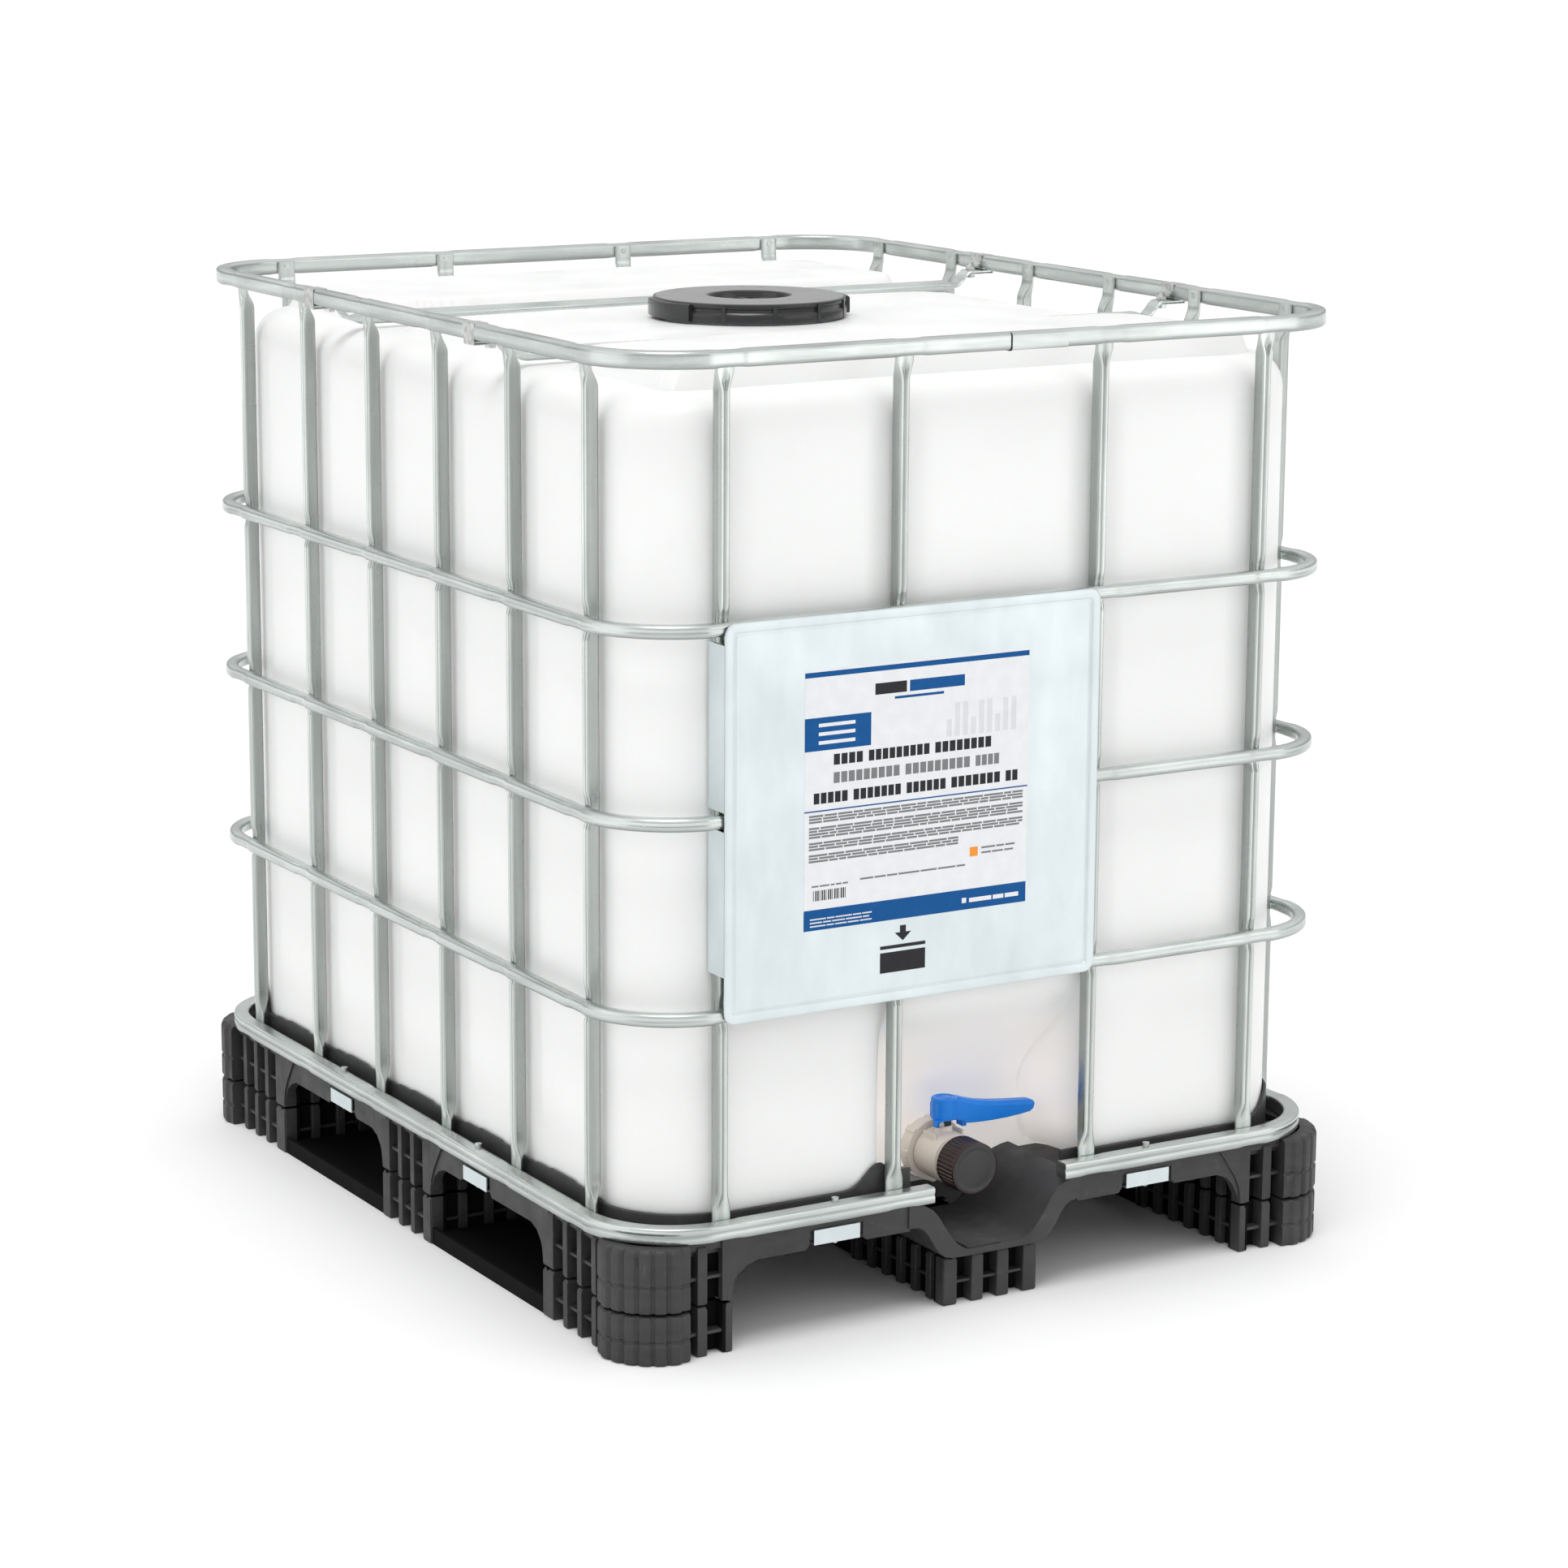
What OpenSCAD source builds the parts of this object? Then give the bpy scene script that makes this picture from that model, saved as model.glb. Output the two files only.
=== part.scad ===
// Intermediate bulk container: a blow-moulded bottle in a galvanised tube cage,
// standing on a two-part plastic pallet, with a screw lid and a butterfly outlet valve.
// Origin: bottom centre of the footprint. X is the width, Y the depth, +Z up.
// The front face, with the label plate and the valve, looks towards -Y.

/* [Overall] */
// Width of the pallet footprint, along X
base_w = 1000; // [980:5:1040]
// Depth of the pallet footprint, along Y
base_d = 1200; // [1180:5:1240]
// Height of the cage's top edge above the floor
total_h = 1150; // [1120:5:1200]
// Radius of the pallet's corner blocks in plan
base_r = 72; // [68:1:76]
// How far the pallet's straight faces are set back from its corner blocks
face_inset = 12; // [10:0.5:12]

/* [Pallet] */
// Width of each skid and of its feet
foot_w = 150; // [130:5:160]
// Half length of the middle feet
mid_foot_half = 78; // [60:2:90]
// Distance from the middle of the pallet to the inner face of the end feet
end_foot_y = 350; // [330:5:370]
// Distance from the middle of the pallet to the inner face of the outer skids
end_foot_x = 350; // [340:5:360]
// Height of the lower half of the pallet, the skids
skid_h = 62; // [56:1:66]
// Height of the runners between the feet
runner_h = 25; // [18:1:32]
// Height of the tray floor that carries the bottle
tray_z = 128; // [124:1:132]
// Height of the upstand round the tray
tray_wall_h = 45; // [30:1:55]
// Wall thickness of the pallet mouldings
pallet_wall = 6; // [4:0.5:10]

/* [Cage] */
// Width and height of the middle ring tubes and of the verticals
tube = 16; // [14:1:18]
// Width of the top ring's section
top_tube_w = 18; // [16:1:20]
// Height of the top ring's and bottom ring's sections
end_tube_h = 20; // [18:1:22]
// Wall thickness of the tubes
tube_wall = 1; // [0.8:0.1:2]
// Corner radius of the rings' centreline
ring_r = 110; // [100:2:112]
// Height of the lower ring's centreline
lower_ring_z = 400; // [380:1:420]
// Height of the middle ring's centreline
middle_ring_z = 624; // [600:1:640]
// Height of the upper ring's centreline
upper_ring_z = 841; // [820:1:860]
// Spacing of the verticals on the long sides
side_pitch = 186.5; // [170:0.5:190]
// Distance of the inner front and back verticals from the middle
inner_post_x = 135.5; // [130:0.5:150]
// Distance of the outer front and back verticals from the middle
outer_post_x = 367.5; // [330:0.5:370]
// Distance of the crossbars from the middle
bar_y = 220; // [210:2:230]
// Height of the crossbars' centreline
bar_z = 1110; // [1106:1:1112]

/* [Bottle] */
// Wall thickness of the bottle
bottle_wall = 2.5; // [1.8:0.1:3]
// Corner radius of the bottle in plan
bottle_r = 105; // [90:5:115]
// Radius of the bottle's top and bottom edges
bottle_edge_r = 40; // [30:2:45]
// Height of the bottle's top between the domes
bottle_top = 1096; // [1090:1:1098]
// Height of the middle dome, under the lid
dome_top = 1112; // [1110:1:1113]
// Height of the domes at the front and the back
end_dome_top = 1122; // [1112:1:1126]
// Half width of the front recess that the valve stands in
recess_half = 146; // [142:1:150]

/* [Lid] */
// Outer radius of the filling lid
lid_r = 121.5; // [118:0.5:124]
// Height of the lid's top face above the floor
lid_top = 1139; // [1138:0.5:1140]
// Radius of the lid's centre recess
vent_recess_r = 50; // [46:1:54]

/* [Valve] */
// Height of the valve's axis
valve_z = 150; // [148:1:154]
// Distance of the valve's stem from the middle of the container
stem_y = 472; // [470:1:474]
// Inner radius of the valve
valve_bore_r = 25; // [24:0.5:26]
// Outer radius of the outlet cap
cap_r = 32; // [31:0.5:33]
// Reach of the lever from the stem
lever_reach = 126; // [110:1:127]

/* [Label plate] */
// Left edge of the plate
plate_left = -377; // [-400:1:-360]
// Right edge of the plate
plate_right = 124; // [110:1:140]
// Lower edge of the plate
plate_low = 391; // [385:1:392]
// Upper edge of the plate
plate_high = 848; // [847:1:870]
// Side length of the square label
label_side = 300; // [250:10:320]

/* [Hidden] */
$fn = 48;

// Clearances
gap = 0.3;       // between pieces of different bodies that face each other
run = 0.05;      // radial running clearance of a pin in its bore
eps = 1;         // how far a cutter runs past the face it cuts

// Colours
plastic_dark = [0.25, 0.25, 0.26];
steel = [0.72, 0.75, 0.74];
hdpe = [0.94, 0.94, 0.92];
black = [0.12, 0.12, 0.13];
cream = [0.86, 0.80, 0.70];
blue = [0.12, 0.52, 0.95];
rubber_grey = [0.2, 0.2, 0.2];

// Pallet
half_w = base_w / 2;
half_d = base_d / 2;
face_x = half_w - face_inset;   // the pallet's straight faces
face_y = half_d - face_inset;
deck_under = tray_z - 20;       // underside of the deck's edge beam
roof_z = tray_z - 7;            // underside of the deck inside the edge beam
rim_z = tray_z + 9;             // top of the rim that carries the bottom ring
rim_in = 8;                     // how far the rim reaches inside the bottom ring
edge_beam = 28;
gusset = 30;                    // fillets between the feet and the deck
FEET = [for (i = [-1 : 1], j = [-1 : 1]) [i, j]];
SCREWED_FEET = [for (f = FEET) if (f != [0, -1]) f];    // the front middle one carries the channel
channel_z = skid_h + 8;         // floor of the drain channel
channel_rim_half = 88;          // half width of the channel where the upstand ends
CHANNEL_SIDE = [                // half width of the channel and height above its floor
    [120, 69], [100, 64], [85, 56], [75, 44], [58, 16], [52, 8], [44, 1], [36, 0]
];
channel_back = 432;             // where the drain channel ends under the valve
channel_wall = 8;
sump_half = 58;                 // half width of the bottle's outlet sump
sump_z = 106;
sump_back = 362;
slot_w = 22;                    // grooves in the feet's outer faces
slot_pitch = 33;
slot_depth = 6;
slot_margin = 6;                // plain band above and below the grooves
slot_rib = 4;                   // thin rib across the grooves
slot_rib_rise = 25;             // height of that rib above the bottom of each half foot
end_panel = 44;                 // plain panel between an end foot's inner face and its grooves
mid_panel = 22;
mid_column_half = 66;           // half width of the middle column's feet
boss_r = 14;
screw_r = 3.5;
screw_head_r = 8;
screw_head_z = 14;
screw_head_h = 6;

// Cage positions
ring_x = half_w - 2 - tube / 2;
ring_y = half_d - 2 - tube / 2;
top_x = half_w - 1 - top_tube_w / 2;
top_y = half_d - 1 - top_tube_w / 2;
base_ring_x = half_w - 2 - end_tube_h / 2;
base_ring_y = half_d - 2 - end_tube_h / 2;
base_ring_z = rim_z + end_tube_h / 2;
top_ring_z = total_h - end_tube_h / 2;
post_x = ring_x - tube;         // centre plane of the side verticals
post_y = ring_y - tube;         // centre plane of the front and back verticals
post_low = rim_z + end_tube_h + 15;
post_high = total_h - end_tube_h - 10;
tab_w = 24;
tab_t = 4;
bar_end_t = 4;                  // thickness of the crossbars' flattened ends
bar_straight = 440;             // half length of a crossbar's round part
ring_gap_half = 92;             // half of the bottom ring's opening at the front
side_ys = [for (i = [-2.5 : 1 : 2.5]) i * side_pitch];
end_xs = [-outer_post_x, -inner_post_x, inner_post_x, outer_post_x];
clip_x = 219;
clip_y = 190;
clip_w = 62;
clip_t = 2;
clip_set = 0.5;                 // how far the clips stand behind the pallet's face
clip_h = 18;
clip_leg = 28;
clip_z = deck_under + 1;        // underside of the clips
clip_screw_r = 2.8;
clip_screw_in = 6;              // distance of the clips' screws behind the pallet's face
strap_w = 26;
strap_t = 1.2;
bar_r = 8;
bar_end_x = top_x - 30;         // inner end of a crossbar's flat that meets the top ring
bolt_x = bar_end_x + 11;
bolt_r = 4;
bolt_head_h = 5;
bolt_reach = 15;
nut_h = 6;
hex_r = 7;                      // corner radius of the bolts' and nuts' hexagons

// Label plate
plate_back = ring_y + tube / 2; // the rings' front faces
plate_t = 1;
plate_r = 14;
bead_h = 1;
bead_w = 12;
flange_w = 36;
flange_low = 55;                // the side flange starts this far above the plate's lower edge
flange_high = 24;
sticker_left = 103;             // from the plate's left edge
sticker_low = 96;               // from the plate's lower edge
sticker_t = 0.3;

// Bottle
bottle_x = post_x - tube / 2 - 6;
bottle_y = post_y - tube / 2 - 6;
wall_gap = 1.5;                 // between the bottle and the tray's upstand
wall_x = bottle_x + wall_gap;
wall_y = bottle_y + wall_gap;
wall_t = 4;
dome_depth = 60;                // how far the domes' blocks reach down into the body
dome_r = 60;
dome_edge_r = 14;
dome_half_x = 400;              // half width of the domes on the bottle's top
end_dome_half_y = 145;
groove_half = 30;               // half width of the grooves for the crossbars
neck_r = 110;
neck_bore_r = 103;
neck_top = dome_top + 18;
outlet_y = 430;                 // back wall of the front recess
outlet_r = valve_bore_r + 5;
outlet_len = 16;
recess_knee_z = 215;            // top of the recess's upright back wall
recess_top_z = 372;             // where the recess's roof meets the front face

// Lid
lid_z = dome_top + 2.5;
lid_plate_t = lid_top - neck_top - 3.6;
lid_wall = 3;
vent_floor_z = lid_top - 21;
vent_bore_r = 28;
vent_neck_top = lid_top - 8;

// Valve, measured along -Y from the middle of the container
flange_y = outlet_y + outlet_len + 1.5;
body_r = 31;
spout_r = 28.5;
spout_end = 538;
cap_front = 543;
cap_back = 506;
stem_r = 4;
tower_r = 10;
tower_top = valve_z + 37;
hub_low = tower_top + 8;
hub_high = hub_low + 27;
hub_r = 16;
arm_w = 20;
stem_in_hub = 18;
seal_r = stem_r + 2.4;
lever_screw_x = -13;
lever_screw_r = 1.75;
disc_r = valve_bore_r - 1.4;

// ---------- helpers ----------

// Rounded rectangle in plan, from half sizes
module plan(hx, hy, r) {
    square([2 * hx, 2 * (hy - r)], center = true);
    square([2 * (hx - r), 2 * hy], center = true);
    for (sx = [-1, 1], sy = [-1, 1])
        translate([sx * (hx - r), sy * (hy - r)])
            circle(r);
}

// Box between two corners
module span(low, high) {
    translate(low)
        cube(high - low);
}

// Profile in X and Z, extruded along Y between two depths
module along_y(y0, y1) {
    translate([0, y1, 0])
        rotate([90, 0, 0])
            linear_extrude(y1 - y0)
                children();
}

// Profile in Y and Z, extruded along X between two widths
module along_x(x0, x1) {
    translate([x0, 0, 0])
        rotate([90, 0, 90])
            linear_extrude(x1 - x0)
                children();
}

// Cylinder along -Y on the valve's axis, from y = -from to y = -to
module barrel(r, from, to) {
    translate([0, -from, valve_z])
        rotate([90, 0, 0])
            cylinder(r = r, h = to - from);
}

// Upright cylinder
module post(x, y, r, z0, z1) {
    translate([x, y, z0])
        cylinder(r = r, h = z1 - z0);
}

// Flat ring round the vertical axis
module washer(r_out, r_in, z0, z1) {
    difference() {
        post(0, 0, r_out, z0, z1);
        post(0, 0, r_in, z0 - eps, z1 + eps);
    }
}

// Closed frame with a rectangular section, centred on the given height
module frame(hx, hy, r, w, h, z) {
    translate([0, 0, z - h / 2])
        linear_extrude(h)
            difference() {
                plan(hx + w / 2, hy + w / 2, r + w / 2);
                plan(hx - w / 2, hy - w / 2, r - w / 2);
            }
}

// Hollow tube bent into a rounded rectangle
module tube_ring(hx, hy, w, h, z) {
    difference() {
        frame(hx, hy, ring_r, w, h, z);
        frame(hx, hy, ring_r, w - 2 * tube_wall, h - 2 * tube_wall, z);
    }
}

// ---------- pallet ----------

// Centre and half size in plan of a foot, given as [column, row] from -1 to 1
function foot_centre(f) = [f[0] * (half_w - foot_w / 2), f[1] * (half_d + end_foot_y) / 2];
function foot_half(f) = [f[0] == 0 ? mid_column_half : foot_w / 2,
                         f[1] == 0 ? mid_foot_half : (half_d - end_foot_y) / 2];

// Plan of the pallet: straight faces between four round corner blocks that stand out
module base_plan() {
    plan(face_x, face_y, base_r - face_inset);
    for (sx = [-1, 1], sy = [-1, 1])
        intersection() {
            translate([sx * (half_w - base_r), sy * (half_d - base_r)])
                circle(base_r);
            translate([sx * half_w, sy * half_d])
                square(2 * base_r, center = true);
        }
}

// Side view of a foot that widens with a fillet into the deck
module foot_outline(half) {
    low = deck_under - gusset;
    fillet = [for (a = [0 : 15 : 90]) [half + gusset * (1 - cos(a)), low + gusset * sin(a)]];
    polygon(concat([[-half, skid_h], [half, skid_h]], fillet,
                   [for (i = [len(fillet) - 1 : -1 : 0]) [-fillet[i][0], fillet[i][1]]]));
}

// Centres of the grooves along a face, between two limits
function groove_places(low, high) =
    let (count = round((high - low) / slot_pitch))
    [for (i = [0 : count - 1]) (low + high) / 2 + (i - (count - 1) / 2) * slot_pitch];

// Grooves in the outer faces of the feet, between two heights
module foot_grooves(z0, z1) {
    end_rows = groove_places(end_foot_y + end_panel, half_d - base_r);
    mid_rows = groove_places(mid_panel - mid_foot_half, mid_foot_half - mid_panel);
    end_columns = groove_places(end_foot_x + 12, half_w - base_r + 3);
    mid_columns = groove_places(12 - mid_column_half, mid_column_half - 12);
    mid_z = (z0 + z1) / 2;
    for (s = [-1, 1], y = concat(-end_rows, mid_rows, end_rows))
        translate([s * face_x, y, mid_z])
            cube([2 * slot_depth, slot_w, z1 - z0], center = true);
    for (s = [-1, 1], x = concat(-end_columns, mid_columns, end_columns))
        translate([x, s * face_y, mid_z])
            cube([slot_w, 2 * slot_depth, z1 - z0], center = true);
}

// Grooves of a half foot, with the thin rib across them
module ribbed_grooves(z0, z1, rib_z) {
    foot_grooves(z0, rib_z);
    foot_grooves(rib_z + slot_rib, z1);
}

// Plan of the hollow inside a foot, clear of its walls and grooves
module hollow_plan(f) {
    inset = pallet_wall + slot_depth;
    intersection() {
        translate(foot_centre(f))
            square([2 * (foot_half(f)[0] - inset), 2 * (foot_half(f)[1] - inset)], center = true);
        plan(face_x - inset, face_y - inset, base_r - face_inset - inset);
    }
}

// Hollow inside a foot, with the screw's boss left standing in it
module foot_hollow(f, z0, z1) {
    translate([0, 0, z0])
        linear_extrude(z1 - z0)
            difference() {
                hollow_plan(f);
                translate(foot_centre(f))
                    circle(boss_r);
            }
}

// The drain channel's outline: a flat floor between two S-shaped sides
module channel_outline(grow) {
    top = [[CHANNEL_SIDE[0][0] + grow, rim_z + 2 * eps]];
    side = concat(top, [for (p = CHANNEL_SIDE) [p[0] + 0.8 * grow, channel_z + p[1] - 0.7 * grow]]);
    last = len(side) - 1;
    polygon(concat([for (i = [0 : last]) [-side[i][0], side[i][1]]], [for (i = [last : -1 : 0]) side[i]]));
}

// Deck with a recess under it, inside the edge beam and between the tops of the feet
module deck_plate() {
    translate([0, 0, deck_under])
        difference() {
            linear_extrude(tray_z - deck_under)
                base_plan();
            translate([0, 0, -eps])
                linear_extrude(roof_z - deck_under + eps)
                    difference() {
                        plan(half_w - edge_beam, half_d - edge_beam, base_r - edge_beam);
                        for (f = SCREWED_FEET)
                            difference() {
                                translate(foot_centre(f))
                                    square(2 * foot_half(f), center = true);
                                hollow_plan(f);
                            }
                    }
        }
}

// Rim that carries the cage's bottom ring
module tray_rim() {
    translate([0, 0, tray_z - eps])
        linear_extrude(rim_z - tray_z + eps)
            difference() {
                base_plan();
                plan(base_ring_x - end_tube_h / 2 - rim_in, base_ring_y - end_tube_h / 2 - rim_in,
                     ring_r - end_tube_h / 2 - rim_in);
            }
}

// Upstand round the bottle, with a taller post on each side of the valve
module tray_wall() {
    post_w = 24;
    post_rise = 14;
    difference() {
        translate([0, 0, tray_z - eps])
            linear_extrude(tray_wall_h + eps)
                difference() {
                    plan(wall_x + wall_t, wall_y + wall_t, bottle_r + wall_gap + wall_t);
                    plan(wall_x, wall_y, bottle_r + wall_gap);
                }
        span([-channel_rim_half - channel_wall, -half_d, tray_z],
             [channel_rim_half + channel_wall, -half_d / 2, total_h]);
    }
    for (s = [-1, 1])
        translate([s * (recess_half + post_w / 4) - post_w / 2, -wall_y - wall_t, tray_z - eps])
            cube([post_w, wall_t, tray_wall_h + post_rise]);
}

module channel_trough() {
    along_y(-face_y, -sump_back + channel_wall)
        intersection() {
            channel_outline(channel_wall);
            translate([-half_w, skid_h])
                square([base_w, tray_z - skid_h]);
        }
}

module pallet_deck() {
    color(plastic_dark)
        difference() {
            union() {
                deck_plate();
                tray_rim();
                tray_wall();
                channel_trough();
            }
            along_y(-half_d - eps, -channel_back)
                channel_outline(0);
            span([-sump_half - 3, -channel_back - eps, sump_z - 2], [sump_half + 3, -sump_back + 3, total_h]);
            clip_pockets();
            clip_holes(deck_under - eps, rim_z + eps, clip_screw_r + run);
        }
}

// Upper halves of the feet, under the deck
module deck_feet() {
    color(plastic_dark)
        for (f = SCREWED_FEET)
            difference() {
                intersection() {
                    translate([0, 0, skid_h])
                        linear_extrude(deck_under - skid_h)
                            base_plan();
                    translate([foot_centre(f)[0], 0, 0])
                        along_y(-half_d, half_d)
                            foot_outline(foot_half(f)[0]);
                    translate([0, foot_centre(f)[1], 0])
                        along_x(-half_w, half_w)
                            foot_outline(foot_half(f)[1]);
                }
                foot_hollow(f, skid_h - eps, deck_under + eps);
                ribbed_grooves(skid_h + slot_margin, deck_under + eps, skid_h + slot_rib_rise + 2);
                post(foot_centre(f)[0], foot_centre(f)[1], screw_r + run, skid_h - eps, deck_under - 8);
                clip_pockets();
                clip_holes(skid_h, deck_under + eps, clip_screw_r + 2);
            }
}

// One skid: three feet on a runner. side is -1, 0 or 1
module skid(side) {
    rows = [for (j = [-1 : 1]) [side, j]];
    cx = foot_centre(rows[0])[0];
    runner_half = foot_half(rows[0])[0] - slot_depth;
    runner_cx = side * (abs(cx) - face_inset / 2);
    difference() {
        union() {
            linear_extrude(skid_h)
                intersection() {
                    base_plan();
                    for (f = rows)
                        translate(foot_centre(f))
                            square(2 * foot_half(f), center = true);
                }
            span([runner_cx - runner_half, -end_foot_y - eps, 0],
                 [runner_cx + runner_half, end_foot_y + eps, runner_h]);
        }
        for (f = rows)
            foot_hollow(f, pallet_wall, skid_h + eps);
        ribbed_grooves(slot_margin, skid_h - slot_margin, slot_rib_rise);
        for (f = rows)
            if (f != [0, -1]) {
                post(cx, foot_centre(f)[1], screw_r + run, -eps, skid_h + eps);
                post(cx, foot_centre(f)[1], screw_head_r + 0.5, -eps, screw_head_z + screw_head_h);
            }
    }
}

module skid_left() {
    color(plastic_dark)
        skid(-1);
}

module skid_centre() {
    color(plastic_dark)
        skid(0);
}

module skid_right() {
    color(plastic_dark)
        skid(1);
}

module skid_screws() {
    color(steel)
        for (f = SCREWED_FEET) {
            c = foot_centre(f);
            neck = screw_head_z + screw_head_h;
            post(c[0], c[1], screw_r, neck, deck_under - 10);
            post(c[0], c[1], screw_head_r, screw_head_z, neck);
        }
}

// Places a child at each of the eight clips: front and back, then left and right
module at_clips() {
    for (turn = [0, 180], s = [-1, 1]) {
        rotate(turn)
            translate([s * clip_x, -face_y, 0])
                children();
        rotate(turn + 90)
            translate([s * clip_y, -face_x, 0])
                children();
    }
}

// Pockets in the pallet's edge, with room round both legs of a clip
module clip_pockets() {
    room = 2;
    low = deck_under - 3;
    at_clips()
        span([-clip_w / 2 - room, -eps, low], [clip_w / 2 + room, clip_t + 1.2, deck_under + clip_h + room]);
    at_clips()
        span([-clip_w / 2 - room, -eps, low], [clip_w / 2 + room, clip_leg + room, clip_z + clip_t + gap]);
}

module clip_holes(z0, z1, r) {
    at_clips()
        post(0, clip_screw_in, r, z0, z1);
}

module cage_clips() {
    color(steel)
        difference() {
            at_clips() {
                span([-clip_w / 2, clip_set, clip_z], [clip_w / 2, clip_set + clip_t, clip_z + clip_h]);
                span([-clip_w / 2, clip_set, clip_z], [clip_w / 2, clip_leg, clip_z + clip_t]);
            }
            clip_holes(clip_z - eps, clip_z + 2 * clip_t, clip_screw_r + run);
        }
}

module clip_screws() {
    ring_top = rim_z + end_tube_h;
    color(steel) {
        clip_holes(clip_z - 2.5, ring_top, clip_screw_r);
        clip_holes(ring_top, ring_top + 4, clip_screw_r + 1.5);
    }
}

// ---------- cage ----------

module bottom_ring() {
    color(steel)
        difference() {
            tube_ring(base_ring_x, base_ring_y, end_tube_h, end_tube_h, base_ring_z);
            span([-ring_gap_half, -half_d - eps, rim_z - eps], [ring_gap_half, -half_d / 2, rim_z + end_tube_h + eps]);
            clip_holes(rim_z - eps, rim_z + end_tube_h + eps, clip_screw_r + run);
        }
}

module lower_ring() {
    color(steel)
        tube_ring(ring_x, ring_y, tube, tube, lower_ring_z);
}

module middle_ring() {
    color(steel)
        tube_ring(ring_x, ring_y, tube, tube, middle_ring_z);
}

module upper_ring() {
    color(steel)
        tube_ring(ring_x, ring_y, tube, tube, upper_ring_z);
}

module top_ring() {
    color(steel)
        difference() {
            tube_ring(top_x, top_y, top_tube_w, end_tube_h, top_ring_z);
            for (sx = [-1, 1], sy = [-1, 1]) {
                translate([sx * top_x, sy * bar_y, total_h])
                    cube([2 * top_tube_w, strap_w + 1, 2 * strap_t], center = true);
                translate([sx * (top_x + top_tube_w / 2), sy * bar_y, top_ring_z])
                    cube([2 * strap_t, strap_w + 1, 2 * end_tube_h], center = true);
            }
        }
}

// A vertical whose outer face is on the rings' inner faces, with its outside towards -Y
module vertical() {
    half = tube / 2;
    bore = half - tube_wall;
    plug = 4;
    difference() {
        span([-half, -half, post_low], [half, half, post_high]);
        span([-bore, -bore, post_low + plug], [bore, bore, post_high - plug]);
    }
    top_face = top_y - top_tube_w / 2 - post_y;
    span([-tab_w / 2, -top_face, post_high - eps], [tab_w / 2, -top_face + tab_t, total_h - 3]);
    low_face = base_ring_y - end_tube_h / 2 - post_y;
    span([-tab_w / 2, -low_face, rim_z + 12], [tab_w / 2, -low_face + tab_t, post_low + eps]);
}

module verticals_front() {
    color(steel)
        for (x = end_xs)
            translate([x, -post_y, 0])
                vertical();
}

module verticals_back() {
    color(steel)
        for (x = end_xs)
            translate([x, post_y, 0])
                rotate(180)
                    vertical();
}

module verticals_left() {
    color(steel)
        for (y = side_ys)
            translate([-post_x, y, 0])
                rotate(-90)
                    vertical();
}

module verticals_right() {
    color(steel)
        for (y = side_ys)
            translate([post_x, y, 0])
                rotate(90)
                    vertical();
}

// Flattened end of a crossbar, rising to the underside of the top ring
module bar_end_outline() {
    under = total_h - end_tube_h;
    half_t = bar_end_t / 2;
    tip = half_w - 3;
    polygon([
        [bar_straight - 4, bar_z - half_t], [bar_straight + 4, bar_z - half_t],
        [bar_end_x + 2, under - bar_end_t], [tip, under - bar_end_t], [tip, under], [bar_end_x, under],
        [bar_straight + 2, bar_z + half_t], [bar_straight - 4, bar_z + half_t]
    ]);
}

module crossbar(y) {
    plug = 8;
    difference() {
        union() {
            translate([-bar_straight, y, bar_z])
                rotate([0, 90, 0])
                    cylinder(r = bar_r, h = 2 * bar_straight);
            for (turn = [0, 180])
                translate([0, y, 0])
                    rotate(turn)
                        along_y(-tab_w / 2, tab_w / 2)
                            bar_end_outline();
        }
        translate([-bar_straight + plug, y, bar_z])
            rotate([0, 90, 0])
                cylinder(r = bar_r - tube_wall, h = 2 * (bar_straight - plug));
        for (s = [-1, 1])
            post(s * bolt_x, y, bolt_r + run, bar_z, total_h);
    }
}

module crossbar_front() {
    color(steel)
        crossbar(-bar_y);
}

module crossbar_rear() {
    color(steel)
        crossbar(bar_y);
}

// Section of the strap that clamps a crossbar's end round the top ring
module strap_outline() {
    low = total_h - end_tube_h - bar_end_t;
    out = half_w - 1;
    inner = top_x - top_tube_w / 2;
    start = bar_end_x + 3;
    lip = 9;
    polygon([
        [start, low - strap_t], [out, low - strap_t], [out, total_h], [inner - strap_t, total_h],
        [inner - strap_t, total_h - lip], [inner, total_h - lip], [inner, total_h - strap_t],
        [out - strap_t, total_h - strap_t], [out - strap_t, low], [start, low]
    ]);
}

module at_straps() {
    for (turn = [0, 180], y = [-bar_y, bar_y])
        rotate(turn)
            translate([0, y, 0])
                children();
}

module crossbar_straps() {
    color(steel)
        difference() {
            at_straps()
                along_y(-strap_w / 2, strap_w / 2)
                    strap_outline();
            at_straps()
                post(bolt_x, 0, bolt_r + run, bar_z, total_h);
        }
}

module crossbar_bolts() {
    under = total_h - end_tube_h - bar_end_t - strap_t;
    color(steel)
        at_straps() {
            post(bolt_x, 0, bolt_r, under, under + bolt_reach);
            translate([bolt_x, 0, under - bolt_head_h])
                cylinder(r = hex_r, h = bolt_head_h, $fn = 6);
        }
}

module crossbar_nuts() {
    seat = total_h - end_tube_h;
    color(steel)
        at_straps()
            difference() {
                translate([bolt_x, 0, seat])
                    cylinder(r = hex_r, h = nut_h, $fn = 6);
                post(bolt_x, 0, bolt_r + run, seat - eps, seat + nut_h + eps);
            }
}

// ---------- label plate ----------

// Rounded rectangle on the front, over the plate's outline less an inset
module plate_outline(inset, r) {
    translate([(plate_left + plate_right) / 2, (plate_low + plate_high) / 2])
        plan((plate_right - plate_left) / 2 - inset, (plate_high - plate_low) / 2 - inset, r);
}

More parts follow.
